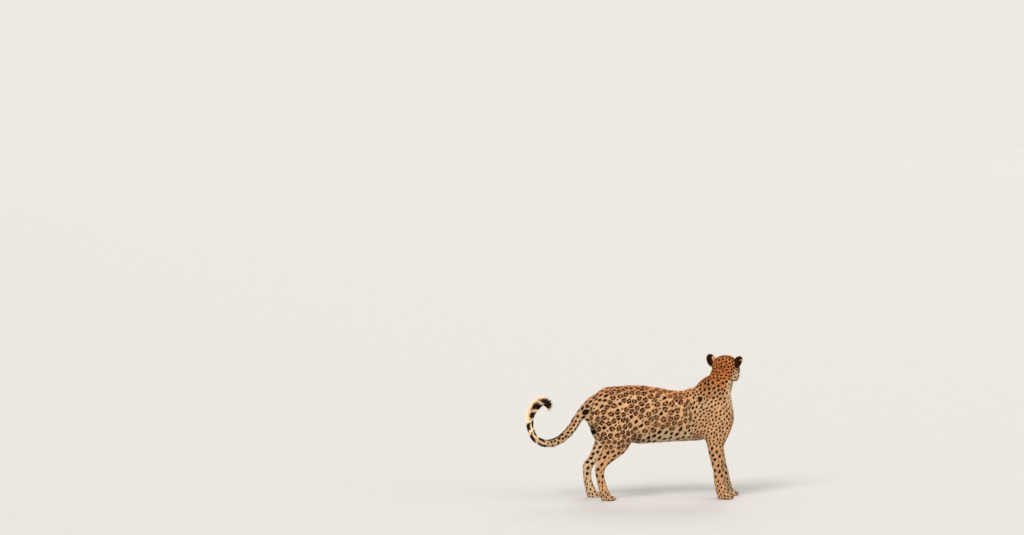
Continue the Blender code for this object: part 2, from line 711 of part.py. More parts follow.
def part_body(body: bpy.types.Mesh) -> None:
    """Cuts the body into neck, chest, belly, rump and the legs above the paws."""
    _, body = parted(body, beyond(NECK_CUT_AT, NECK_CUT_NORMAL))
    body, _ = parted(body, box((-1, -1, WRIST_CUT), (1, 1, 1)))
    line = tail_line(TAIL_STEPS)
    start = int(tail_share(TAIL_STUB) * len(line))
    along = Vector(line[start + 1, :3] - line[start, :3]).normalized()
    _, body = parted(body, beyond(Vector(line[start, :3]), along, 0.07))
    lower, body = parted(body, box((-1, -1, 0), (1, 1, ELBOW_CUT)))
    for leg in loose_parts(lower):
        at = middle_of(leg)
        word = "left" if at.y > 0 else "right"
        finished(leg, f"{'forearm' if at.x > 0 else 'shank'}_{word}", COAT)
    for word, side in SIDES.items():
        shoulder, body = parted(body, arch(*SHOULDER_ARCH, side))
        finished(shoulder, f"shoulder_{word}", COAT)
        thigh, body = parted(body, arch(*HIP_ARCH, side))
        finished(thigh, f"thigh_{word}", COAT)
    forward = Vector((1, 0, 0))
    neck, body = parted(body, beyond(NECK_BASE_AT, NECK_BASE_NORMAL))
    chest, body = parted(body, beyond(forward * CHEST_END, forward))
    belly, rump = parted(body, beyond(forward * BELLY_END, forward))
    finished(neck, "neck", RUFOUS)
    finished(chest, "chest", COAT)
    finished(belly, "belly", PALE)
    finished(rump, "rump", COAT)


def tail_share(distance: float) -> float:
    """The share of the tail's line that lies within a distance of the seat."""
    line = tail_line(TAIL_STEPS)
    seat = trunk_stations()[0].at.x
    start = next(i for i, row in enumerate(line) if row[0] < seat)
    step = np.linalg.norm(line[1, :3] - line[0, :3])
    return (start + distance / step) / len(line)


def make_tail() -> None:
    """The tail beyond its stub, in four lengths."""
    line = tail_line(TAIL_STEPS)
    tangents = np.gradient(line[:, :3], axis=0)
    tangents /= np.linalg.norm(tangents, axis=1)[:, None]
    start = int(tail_share(TAIL_STUB) * len(line))
    for name, share in TAIL_PIECES.items():
        end = int(share * (len(line) - 1))
        rings = round((end - start) / TAIL_RING)
        rows = line[np.linspace(start, end, rings).astype(int)]
        rows[0, :3] += tangents[start] * GAP
        ends = (tangents[start], tangents[end])
        shape = bmesh.new()
        add_loft(shape, tail_stations(rows), [Vector((0, 1, 0))], rings, TAIL_SIDES, ends)
        finished(mesh_of(shape, name), name, COAT)
        start = end


def stand_on_origin() -> None:
    """Moves all pieces so that the middle of the figure's box is over the origin, and its soles at Z = 0."""
    pieces = bpy.data.collections["leopard"].objects
    points = [v.co for piece in pieces for v in piece.data.vertices]
    low = Vector(min(p[k] for p in points) for k in range(3))
    high = Vector(max(p[k] for p in points) for k in range(3))
    move = Matrix.Translation((-(low.x + high.x) / 2, -(low.y + high.y) / 2, -low.z))
    for piece in pieces:
        piece.data.transform(move)


def main() -> None:
    """Builds the leopard."""
    for thing in list(bpy.data.objects):
        bpy.data.objects.remove(thing)
    for name in ("leopard", "cutters"):
        bpy.context.scene.collection.children.link(bpy.data.collections.new(name))
    part_body(make_body())
    make_tail()
    make_paws()
    head = make_head()
    _, head = parted(head, beyond(NECK_CUT_AT, -NECK_CUT_NORMAL))
    for side in SIDES.values():
        head = cut(head, eyeball(side, GAP), "DIFFERENCE")
    for word, side in SIDES.items():
        finished(make_ear(side, head), f"ear_{word}", DARK)
        finished(eyeball(side, 0), f"eye_{word}", AMBER)
    finished(make_nose(head), "nose", LEATHER)
    finished(head, "head", RUFOUS)
    stand_on_origin()


main()
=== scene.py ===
"""A leopard as a still, life-size model: its skin, coat, markings, eyes, nose, whiskers and claws.

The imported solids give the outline, out to the tips of the coat. Their flesh is fused into one
seamless skin, which lies inside them by the depth of the coat. Spots and rosettes are grown on
the skin, and the skin and every tuft of the coat carry the same markings, as values kept at
their points. Metres, +Z up, +X towards the animal's front and +Y towards its left.
"""

import logging
import math
from dataclasses import dataclass, field
from enum import Enum

import bmesh
import bpy
import numpy as np
from mathutils import Matrix, Vector
from mathutils.bvhtree import BVHTree
from mathutils.kdtree import KDTree


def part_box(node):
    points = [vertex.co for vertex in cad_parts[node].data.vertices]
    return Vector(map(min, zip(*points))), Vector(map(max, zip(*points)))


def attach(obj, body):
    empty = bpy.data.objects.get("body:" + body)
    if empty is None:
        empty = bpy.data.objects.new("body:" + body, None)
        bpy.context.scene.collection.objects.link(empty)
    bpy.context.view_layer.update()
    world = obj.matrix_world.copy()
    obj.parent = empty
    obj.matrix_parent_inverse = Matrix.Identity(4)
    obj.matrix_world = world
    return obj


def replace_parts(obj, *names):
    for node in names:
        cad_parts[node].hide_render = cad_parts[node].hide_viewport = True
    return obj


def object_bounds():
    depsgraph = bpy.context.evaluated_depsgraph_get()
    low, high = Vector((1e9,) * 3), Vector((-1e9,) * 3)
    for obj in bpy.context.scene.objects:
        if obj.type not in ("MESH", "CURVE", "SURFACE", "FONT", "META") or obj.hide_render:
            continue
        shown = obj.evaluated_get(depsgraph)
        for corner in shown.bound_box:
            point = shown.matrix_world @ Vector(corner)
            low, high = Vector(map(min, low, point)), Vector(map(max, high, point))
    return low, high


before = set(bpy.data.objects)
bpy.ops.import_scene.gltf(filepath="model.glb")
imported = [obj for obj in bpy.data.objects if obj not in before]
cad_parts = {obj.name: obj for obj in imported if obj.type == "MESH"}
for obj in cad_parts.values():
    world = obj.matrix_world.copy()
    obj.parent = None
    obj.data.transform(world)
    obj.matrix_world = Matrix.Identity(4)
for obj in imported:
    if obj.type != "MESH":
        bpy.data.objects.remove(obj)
CAD_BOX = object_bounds()
LOG = logging.getLogger("leopard")

Array = np.ndarray
Material = bpy.types.Material
Mesh = bpy.types.Mesh
Piece = bpy.types.Object
Socket = bpy.types.NodeSocket
LEFT, RIGHT = 1, -1
SIDES = {"left": LEFT, "right": RIGHT}
SMALL = 1e-12
SEED = 417

# ---- Small tools ----


def unit(rows: Array) -> Array:
    """Each row at length one."""
    return rows / np.maximum(np.linalg.norm(rows, axis=-1, keepdims=True), SMALL)


def dot(one: Array, other: Array) -> Array:
    """The product of each row with its fellow."""
    return (one * other).sum(-1)


def ease(low: float, high: float, value: Array) -> Array:
    """Rises smoothly from 0 at low to 1 at high, or falls where low is the larger."""
    share = np.clip((value - low) / (high - low), 0, 1)
    return share * share * (3 - 2 * share)


def bell(value: Array, middle: float, width: float) -> Array:
    """1 at the middle, and less and less to either side of it."""
    return np.exp(-((value - middle) / width) ** 2)


def ripple(points: Array, size: float, seed: int) -> Array:
    """A soft, uneven field from about -1 to 1, its swells about as wide as size."""
    rng = np.random.default_rng(seed)
    waves, peak = 7, 3.2  # how many are added, and about how high they reach together
    total = np.zeros(len(points))
    for _ in range(waves):
        way = unit(rng.normal(size=3)) * math.tau / (size * rng.uniform(1.3, 2.6))
        total += np.sin(points @ way + rng.uniform(0, math.tau))
    return total / peak


def stepped(rows: Array, count: int) -> Array:
    """Rows of values along a line, read at evenly spread steps from the first row to the last."""
    steps = np.linspace(0, len(rows) - 1, count)
    return np.stack([np.interp(steps, np.arange(len(rows)), column) for column in rows.T], axis=1)


def tree_of(points: Array) -> KDTree:
    """A tree that finds the nearest of some points."""
    tree = KDTree(len(points))
    for number, at in enumerate(points.tolist()):
        tree.insert(at, number)
    tree.balance()
    return tree


def on_side(at: tuple, side: int) -> Vector:
    """A place that is given for the left side, on the side asked for, or between them for 0."""
    return Vector((at[0], side * at[1], at[2]))


def middle_of(node: str) -> Vector:
    """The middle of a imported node's box."""
    low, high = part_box(node)
    return (Vector(low) + Vector(high)) / 2


def turned(matrix: Matrix, points: Array) -> Array:
    """Points moved by a matrix."""
    rows = np.array(matrix)
    return points @ rows[:3, :3].T + rows[:3, 3]


def mesh_of(shape: bmesh.types.BMesh, name: str) -> Mesh:
    """The mesh of a finished bmesh, which is freed."""
    mesh = bpy.data.meshes.new(name)
    shape.to_mesh(mesh)
    shape.free()
    return mesh


def linked(name: str, data: bpy.types.ID) -> Piece:
    """A new object in the scene."""
    piece = bpy.data.objects.new(name, data)
    bpy.context.scene.collection.objects.link(piece)
    return piece


def mesh_arrays(mesh: Mesh) -> tuple[Array, Array]:
    """A mesh's points and triangles.

    Args:
        mesh: Any mesh.

    Returns:
        Points in rows of three, and triangles as rows of three point numbers.
    """
    points = np.empty(len(mesh.vertices) * 3)
    mesh.vertices.foreach_get("co", points)
    mesh.calc_loop_triangles()
    faces = np.empty(len(mesh.loop_triangles) * 3, np.int32)
    mesh.loop_triangles.foreach_get("vertices", faces)
    return points.reshape(-1, 3), faces.reshape(-1, 3)


def mesh_from(name: str, points: Array, faces: Array) -> Mesh:
    """A smooth-shaded mesh.

    Args:
        name: The mesh's name.
        points: Its points, in rows.
        faces: Rows of point numbers, all of one length.

    Returns:
        The new mesh.
    """
    mesh = bpy.data.meshes.new(name)
    corners = faces.shape[1]
    mesh.vertices.add(len(points))
    mesh.vertices.foreach_set("co", points.astype(np.float32).ravel())
    mesh.loops.add(faces.size)
    mesh.loops.foreach_set("vertex_index", faces.astype(np.int32).ravel())
    mesh.polygons.add(len(faces))
    mesh.polygons.foreach_set("loop_start", np.arange(0, faces.size, corners, dtype=np.int32))
    mesh.polygons.foreach_set("use_smooth", np.ones(len(faces), bool))
    mesh.update(calc_edges=True)
    mesh.validate()
    return mesh


def keep_values(mesh: Mesh, name: str, values: Array) -> None:
    """Keeps one number, or one row of three, at each point of a mesh, for its material to read."""
    kind, field_name = ("FLOAT", "value") if values.ndim == 1 else ("FLOAT_VECTOR", "vector")
    layer = mesh.attributes.new(name, kind, "POINT")
    layer.data.foreach_set(field_name, values.astype(np.float32).ravel())


def rods(name: str, paths: Array, radii: Array, sides: int) -> Mesh:
    """Closed round rods, each along its path.

    Args:
        name: The mesh's name.
        paths: For each rod, its line's points.
        radii: For each rod, its radius at each point.
        sides: How many sides the rods have.

    Returns:
        The mesh of all rods.
    """
    number, rings = radii.shape
    along = unit(np.gradient(paths, axis=1))
    aside = unit(np.cross(along, (0.0, 0.0, 1.0)))
    above = np.cross(aside, along)
    turn = (np.arange(sides) * math.tau / sides)[:, None]
    rim = aside[:, :, None] * np.cos(turn) + above[:, :, None] * np.sin(turn)
    tube = paths[:, :, None] + rim * radii[:, :, None, None]
    points = np.concatenate([tube.reshape(number, -1, 3), paths[:, :1], paths[:, -1:]], axis=1)
    one = np.arange(sides)
    two = (one + 1) % sides
    faces = []
    for ring in range(rings - 1):
        low, high = ring * sides, (ring + 1) * sides
        faces.append(np.stack([low + one, high + two, low + two], 1))
        faces.append(np.stack([low + one, high + one, high + two], 1))
    root, last = np.full(sides, rings * sides), (rings - 1) * sides
    faces += [np.stack([root, one, two], 1), np.stack([root + 1, last + two, last + one], 1)]
    shape = np.concatenate(faces)
    every = (shape[None] + points.shape[1] * np.arange(number)[:, None, None]).reshape(-1, 3)
    return mesh_from(name, points.reshape(-1, 3), every)


def shown(mesh: Mesh, material: Material) -> Piece:
    """Puts a finished mesh in the scene, riding on the figure.

    Args:
        mesh: The mesh, its place in its points.
        material: What it is dressed in.

    Returns:
        The new object.
    """
    piece = linked(mesh.name, mesh)
    mesh.materials.clear()
    mesh.materials.append(material)
    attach(piece, "root")
    return piece


class Surface:
    """A skin of triangles, with the tools that shape it and find its ways."""

    def __init__(self, points: Array, faces: Array) -> None:
        """Keeps points and faces, and works out which points are neighbours."""
        self.points, self.faces = points, faces
        pairs = np.concatenate([faces[:, [0, 1]], faces[:, [1, 2]], faces[:, [2, 0]]])
        pairs = np.concatenate([pairs, pairs[:, ::-1]])
        pairs = np.unique(pairs[:, 0].astype(np.int64) * len(points) + pairs[:, 1])
        self.of, self.near = pairs // len(points), pairs % len(points)
        self.first = np.searchsorted(self.of, np.arange(len(points)))
        self.count = np.diff(np.append(self.first, len(self.of)))

    def around(self, values: Array) -> Array:
        """The mean of the values at each point's neighbours."""
        total = np.add.reduceat(values[self.near], self.first, axis=0)
        return total / (self.count if values.ndim == 1 else self.count[:, None])

    def evened(self, values: Array, rounds: int) -> Array:
        """Values spread among neighbours for some rounds."""
        for _ in range(rounds):
            values = 0.4 * values + 0.6 * self.around(values)
        return values

    def flats(self) -> Array:
        """The normal of each triangle, as long as twice its area."""
        a, b, c = (self.points[self.faces[:, k]] for k in range(3))
        return np.cross(b - a, c - a)

    def areas(self) -> Array:
        """The area of each triangle."""
        return np.linalg.norm(self.flats(), axis=1) / 2

    def onto(self, places: Array) -> Array:
        """Places moved to the surface's nearest points."""
        tree = BVHTree.FromPolygons(self.points.tolist(), self.faces.tolist())
        return np.array([tree.find_nearest(at)[0] for at in places.tolist()])

    def normals(self) -> Array:
        """The outward normal at each point."""
        flat = self.flats()
        total = np.zeros_like(self.points)
        for k in range(3):
            for axis in range(3):
                total[:, axis] += np.bincount(self.faces[:, k], flat[:, axis], len(self.points))
        return unit(total)

    def soften(self, rounds: int, share: Array, hold: float) -> None:
        """Smooths the shape without shrinking it.

        Args:
            rounds: How many passes.
            share: How much each point takes part, from 0 to 1.
            hold: Waves longer than this stands for are kept.
        """
        inward = 0.6
        outward = -1 / (1 / inward - hold)
        for _ in range(rounds):
            for pull in (inward, outward):
                self.points += (self.around(self.points) - self.points) * (share * pull)[:, None]

    def way_from(self, start: Array) -> Array:
        """How far each point is from the start, along the surface.

        Args:
            start: A place in space; the nearest point is where it begins.

        Returns:
            The distance of each point, infinite where the surface doesn't lead.
        """
        lengths = np.linalg.norm(self.points[self.of] - self.points[self.near], axis=1)
        away = np.full(len(self.points), np.inf)
        away[np.linalg.norm(self.points - start, axis=1).argmin()] = 0
        while True:
            found = np.minimum(away, np.minimum.reduceat(away[self.near] + lengths, self.first))
            if np.array_equal(found, away):
                return away
            away = found

    def slope_of(self, values: Array) -> Array:
        """The direction along the surface in which the values rise, at each point."""
        step = self.points[self.near] - self.points[self.of]
        rise = (values[self.near] - values[self.of]) / np.maximum(dot(step, step), SMALL)
        total = np.add.reduceat(step * rise[:, None], self.first, axis=0)
        return self.laid(total, self.normals())

    @staticmethod
    def laid(rows: Array, normals: Array) -> Array:
        """Directions laid along the surface, at length one."""
        return unit(rows - normals * dot(rows, normals)[:, None])

    def finer(self, chosen: Array) -> "Surface":
        """The same surface with the edges between chosen points halved."""
        shape = bmesh.new()
        shape.from_mesh(mesh_from("finer", self.points, self.faces))
        edges = [e for e in shape.edges if chosen[e.verts[0].index] and chosen[e.verts[1].index]]
        bmesh.ops.subdivide_edges(shape, edges=edges, cuts=1, use_grid_fill=True)
        bmesh.ops.triangulate(shape, faces=[f for f in shape.faces if len(f.verts) > 3])
        finer = Surface(*mesh_arrays(mesh_of(shape, "finer")))
        fresh = np.arange(len(finer.points)) >= len(self.points)
        finer.soften(5, finer.evened(fresh.astype(float), 1) > 0.2, 0.05)
        return finer


@dataclass(frozen=True)
class HeadFrame:
    """The head's own axes: X to its nose, Y to its left, Z up, from the middle of the skull."""

    yaw: float = math.radians(66)
    pitch: float = math.radians(3)  # nose down
    roll: float = math.radians(2.5)  # left ear up
    eye_at: tuple = (0.0560, 0.0348, 0.0165)
    eye_radius: float = 0.0145
    gaze_outward: float = math.radians(20)
    gaze_upward: float = math.radians(5)
    nose_at: tuple = (0.1265, 0.0, -0.0135)
    nose_radii: tuple = (0.0100, 0.0175, 0.0115)
    nose_pitch: float = math.radians(12)
    ear_at: tuple = (-0.036, 0.075, 0.037)
    ear_lean: float = math.radians(34)  # outward
    ear_turn: float = math.radians(36)  # outward
    ear_tilt: float = math.radians(8)  # back

    def place(self) -> Matrix:
        """From the head's axes to the figure's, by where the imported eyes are."""
        turn = Matrix.Rotation(self.yaw, 4, "Z") @ Matrix.Rotation(self.pitch, 4, "Y")
        turn = turn @ Matrix.Rotation(self.roll, 4, "X")
        between_eyes = (middle_of("eye_left") + middle_of("eye_right")) / 2
        return Matrix.Translation(between_eyes - turn @ on_side(self.eye_at, 0)) @ turn

    def own(self, points: Array) -> Array:
        """Points in the head's own axes."""
        return turned(self.place().inverted(), points)

    def eye(self, side: int) -> Matrix:
        """From an eye's axes, X along its line of sight, to the figure's."""
        look = Matrix.Rotation(side * self.gaze_outward, 4, "Z")
        look = look @ Matrix.Rotation(-self.gaze_upward, 4, "Y")
        return self.place() @ Matrix.Translation(on_side(self.eye_at, side)) @ look

    def nose(self) -> Matrix:
        """From the nose's axes, X out of its front, to the figure's."""
        return self.place() @ Matrix.Translation(self.nose_at) @ Matrix.Rotation(self.nose_pitch, 4, "Y")

    def ear(self, side: int) -> Matrix:
        """From an ear's axes, Z up the ear and X out of its cup, to the figure's."""
        return (
            self.place()
            @ Matrix.Translation(on_side(self.ear_at, side))
            @ Matrix.Rotation(-side * self.ear_lean, 4, "X")
            @ Matrix.Rotation(side * self.ear_turn, 4, "Z")
            @ Matrix.Rotation(-self.ear_tilt, 4, "Y")
        )

    def in_ear(self, side: int, points: Array, normals: Array) -> tuple[Array, Array]:
        """Points and normals in an ear's own axes."""
        place = self.ear(side)
        return turned(place.inverted(), points), normals @ np.array(place.to_3x3())


HEAD = HeadFrame()


@dataclass(frozen=True)
class EyeOpening:
    """The opening between the lids: two arcs that meet at its corners, measured along the eyeball."""

    half: float = 0.0132  # from the middle to each corner
    upper: float = 0.0057  # from the middle up to the upper lid
    lower: float = 0.0056
    lid: float = 0.0040  # how far from the eyeball the lids reach
    tilt: float = math.radians(14)  # the corner by the nose is the lower one

    def around(self, side: int, points: Array) -> tuple[Array, Array, Array, Array]:
        """Where points are about an eye.

        Args:
            side: Which eye.
            points: Points of the figure.

        Returns:
            How far outside the opening each point is, less than nothing within it; how far towards
            the nose, and how far above the line between the corners, from the middle of the opening;
            and its distance from the eyeball's middle.
        """
        own = turned(HEAD.eye(side).inverted(), points)
        reach = np.maximum(np.linalg.norm(own, axis=1), SMALL)
        across = HEAD.eye_radius * np.arctan2(-side * own[:, 1], own[:, 0])
        up = HEAD.eye_radius * np.arcsin(np.clip(own[:, 2] / reach, -1, 1))
        c, s = math.cos(self.tilt), math.sin(self.tilt)
        across, up = across * c - up * s, across * s + up * c
        arcs = []
        for rise, way in ((self.upper, 1), (self.lower, -1)):
            radius = (self.half ** 2 + rise ** 2) / (2 * rise)
            arcs.append(np.hypot(across, way * up + radius - rise) - radius)
        return np.maximum(*arcs), across, up, reach

    def nearer(self, points: Array) -> tuple[Array, Array, Array]:
        """The same for the nearer eye of the two, without the last, which the first takes in."""
        one, other = (self.around(side, points) for side in SIDES.values())
        outside, across, up, reach = (np.where(one[3] < other[3], a, b) for a, b in zip(one, other))
        return outside + np.maximum(0, reach - HEAD.eye_radius - self.lid), across, up


@dataclass(frozen=True)
class MouthLine:
    """Where the lips meet, and the groove from the nose down to them, in the head's axes."""

    lips: tuple = (
        (0.1330, 0.0000, -0.0415), (0.1290, 0.0110, -0.0465), (0.1190, 0.0220, -0.0505),
        (0.1040, 0.0310, -0.0515), (0.0880, 0.0360, -0.0505), (0.0740, 0.0400, -0.0495),
        (0.0620, 0.0440, -0.0500),
    )
    groove: tuple = ((0.1360, 0.0, -0.0240), (0.1345, 0.0, -0.0330), (0.1330, 0.0, -0.0415))

    steps: int = 90

    def laid(self, line: tuple, side: int, surface: Surface) -> Array:
        """Closely set points along a line, each at the skin's nearest place."""
        path = stepped(np.array(line) * (1, side, 1), self.steps)
        return surface.onto(turned(HEAD.place(), path))

    def on(self, surface: Surface) -> tuple[Array, Array]:
        """The points of the lips' line and of the groove's, on the skin."""
        lips = np.concatenate([self.laid(self.lips, side, surface) for side in SIDES.values()])
        return lips, self.laid(self.groove, LEFT, surface)


OPENING = EyeOpening()


@dataclass(frozen=True)
class PawFrame:
    """Each paw's own axes: X ahead, Y to the left, from the floor under the ball of the foot."""

    toes: tuple = (  # their middles: aside, ahead
        (-0.0275, 0.0220), (-0.0098, 0.0350), (0.0098, 0.0350), (0.0275, 0.0220),
    )
    toe_reach: float = 0.0548  # from the ball of the foot to the front of the toes
    half_width: float = 0.0405
    turned_out: float = math.radians(5)
    hind_size: float = 0.93
    groove_width: float = 0.0034
    groove_back: float = 0.024  # how far behind the toes' middles a groove begins
    groove_deep: float = 0.002  # and how far behind them it is at its deepest
    foot_height: float = 0.05  # no groove is farther up, or farther ahead of the toes' middles

    def places(self) -> dict[str, Matrix]:
        """From the axes of each paw to the figure's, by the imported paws' boxes."""
        found = {}
        for word, side in SIDES.items():
            for kind, size in (("forepaw", 1.0), ("hindpaw", self.hind_size)):
                low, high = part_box(f"{kind}_{word}")
                outer = high[1] if side == LEFT else low[1]
                ball = Vector((high[0] - self.toe_reach * size, outer - side * self.half_width * size, 0))
                turn = Matrix.Rotation(side * self.turned_out, 4, "Z")
                found[f"{kind}_{word}"] = Matrix.Translation(ball) @ turn @ Matrix.Scale(size, 4)
        return found

    def between_toes(self, points: Array) -> Array:
        """How much each point is of the grooves between the toes, from 0 to 1."""
        much = np.zeros(len(points))
        for place in self.places().values():
            own = turned(place.inverted(), points)
            for (aside, ahead), (next_aside, next_ahead) in zip(self.toes, self.toes[1:]):
                start = (ahead + next_ahead) / 2
                across = bell(own[:, 1], (aside + next_aside) / 2, self.groove_width)
                along = ease(start - self.groove_back, start - self.groove_deep, own[:, 0])
                near = (own[:, 0] < start + self.foot_height) & (own[:, 2] < self.foot_height)
                much = np.maximum(much, across * along * near)
        return much


PAWS = PawFrame()


FINEST_BY_EYE, FINEST_BY_NOSE = 0.36, 0.42


def fineness(points: Array) -> Array:
    """How short and thin the hair is at each point: 1 for the full measure, less round eyes and snout."""
    from_eye = ease(0.001, 0.020, OPENING.nearer(points)[0])
    from_nose = ease(0.122, 0.060, HEAD.own(points)[:, 0])
    return np.minimum(FINEST_BY_EYE + (1 - FINEST_BY_EYE) * from_eye,
                      FINEST_BY_NOSE + (1 - FINEST_BY_NOSE) * from_nose)


def gap_to(line: Array, points: Array) -> Array:
    """How far each point is from a line of closely set points, up to 2 cm."""
    tree, within = tree_of(line), 0.02
    gap = np.full(len(points), within)
    low, high = line.min(0) - within, line.max(0) + within
    near = ((points > low) & (points < high)).all(axis=1)
    gap[near] = [tree.find(at)[2] for at in points[near].tolist()]
    return np.minimum(gap, within)


@dataclass(frozen=True)
class Growth:
    """How the coat grows on one part of the animal."""

    depth: float  # from the skin out to the tips
    length: float  # of a tuft
    width: float  # of a tuft
    room: float  # of skin to each tuft, square metres
    spots: float  # from the middle of one marking to the next
    firm: float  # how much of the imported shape's smoothing the part escapes, from 0 to 1


MM2 = 1e-6
GROWTHS = {
    "head": Growth(0.0034, 0.0085, 0.0016, 2.6 * MM2, 0.0150, 0.42),
    "ear": Growth(0.0006, 0.0055, 0.0012, 1.9 * MM2, 0.0300, 0.90),
    "neck": Growth(0.0070, 0.0150, 0.0023, 5.0 * MM2, 0.0180, 0.00),
    "chest": Growth(0.0072, 0.0150, 0.0026, 6.3 * MM2, 0.0280, 0.00),
    "shoulder": Growth(0.0062, 0.0130, 0.0024, 5.6 * MM2, 0.0162, 0.00),
    "belly": Growth(0.0085, 0.0190, 0.0029, 6.6 * MM2, 0.0280, 0.00),
    "rump": Growth(0.0070, 0.0150, 0.0026, 6.4 * MM2, 0.0265, 0.00),
    "thigh": Growth(0.0064, 0.0135, 0.0025, 6.1 * MM2, 0.0265, 0.00),
    "forearm": Growth(0.0045, 0.0105, 0.0021, 4.5 * MM2, 0.0220, 0.10),
    "shank": Growth(0.0045, 0.0105, 0.0021, 4.5 * MM2, 0.0240, 0.10),
    "forepaw": Growth(0.0026, 0.0062, 0.0015, 3.3 * MM2, 0.0160, 0.70),
    "hindpaw": Growth(0.0026, 0.0062, 0.0015, 3.3 * MM2, 0.0160, 0.70),
    "tail": Growth(0.0072, 0.0165, 0.0023, 4.6 * MM2, 0.0175, 0.00),
}
TRUNK = ("chest", "belly", "rump")
LEGS = ("forearm", "shank", "forepaw", "hindpaw")
APART = ("eye_left", "eye_right", "nose")  # the nodes that the skin doesn't take in
FLESH = sorted(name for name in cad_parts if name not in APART)


def measure(what: str) -> Array:
    """One of the coat's measures, for each flesh node."""
    return np.array([getattr(GROWTHS[name.split("_")[0]], what) for name in FLESH])


def named(*starts: str) -> Array:
    """For each flesh node, whether its name starts with one of these."""
    return np.array([name.startswith(starts) for name in FLESH])


@dataclass(frozen=True)
class Whiskers:
    """Stiff white hairs in rows on the whisker pads, and a few over each eye."""

    rows: int = 4
    in_row: int = 7
    first: tuple = (0.1370, 0.0400, -0.0200)  # the foremost of the top row, in the head's axes
    back_step: float = 0.0078
    down_step: float = 0.0062
    droop: float = 0.0006  # how much lower each is than the one before it in its row
    bearing: tuple = (0.25, 0.80)  # the share of roots with a whisker, from a row's front to its back
    pad_way: tuple = (-0.42, 0.80)  # which way they stand: ahead and aside
    pad_rise: tuple = (-0.30, 0.12)  # the least and the most that they stand up
    length: float = 0.082
    uneven: tuple = (0.70, 1.08)
    brow_at: tuple = ((0.063, 0.030, 0.036), (0.058, 0.036, 0.036), (0.061, 0.026, 0.039))
    brow_way: tuple = (-0.10, 0.55, 0.75)
    brow_length: float = 0.045
    sag: tuple = (-0.20, 0.0, -0.22)
    thickness: float = 0.00040  # half of it, at the root
    taper: float = 0.93
    rooted: float = 0.03  # the share of its length that is set in the skin
    steps: int = 11
    sides: int = 6

    def roots(self, surface: Surface) -> Array:
        """The roots on the whisker pads, on the skin: first the left pad's rows, then the right's."""
        places = []
        for side in SIDES.values():
            for row in range(self.rows):
                for k in range(self.in_row):
                    x = self.first[0] - self.back_step * (k + 0.5 * (row % 2))
                    z = self.first[2] - self.down_step * row - self.droop * k
                    places.append((x, side * self.first[1], z))
        return surface.onto(turned(HEAD.place(), np.array(places)))

    def build(self, surface: Surface, material: Material) -> None:
        """Makes all whiskers as one piece."""
        rng = np.random.default_rng(SEED + 2)
        pad = self.roots(surface)
        side = np.repeat(list(SIDES.values()), len(pad) // 2)
        bearing = np.tile(np.linspace(*self.bearing, self.in_row), len(pad) // self.in_row)
        chosen = rng.random(len(pad)) < bearing
        pad, side = pad[chosen], side[chosen]
        brow = np.array([on_side(at, side) for side in SIDES.values() for at in self.brow_at])
        brow = surface.onto(turned(HEAD.place(), brow))
        turn = np.array(HEAD.place())[:3, :3]
        ahead, aside = self.pad_way
        rise = rng.uniform(*self.pad_rise, len(pad))
        out = np.stack([np.full(len(pad), ahead), aside * side, rise], axis=1)
        up = [on_side(self.brow_way, side) for side in SIDES.values() for _ in self.brow_at]
        start, way = np.concatenate([pad, brow]), unit(np.concatenate([out, up]) @ turn.T)
        length = self.length * rng.uniform(*self.uneven, len(pad))
        length = np.append(length, np.full(len(brow), self.brow_length))[:, None, None]
        share = np.linspace(0, 1, self.steps)
        bent = (share ** 2)[None, :, None] * (np.array(self.sag) @ turn.T)
        path = start[:, None] + length * ((share - self.rooted)[None, :, None] * way[:, None] + bent)
        radius = self.thickness * (1 - self.taper * share) * np.ones((len(start), 1))
        shown(rods("whiskers", path, radius, self.sides), material)
        LOG.info("whiskers: %d", len(start))


WHISKERS = Whiskers()


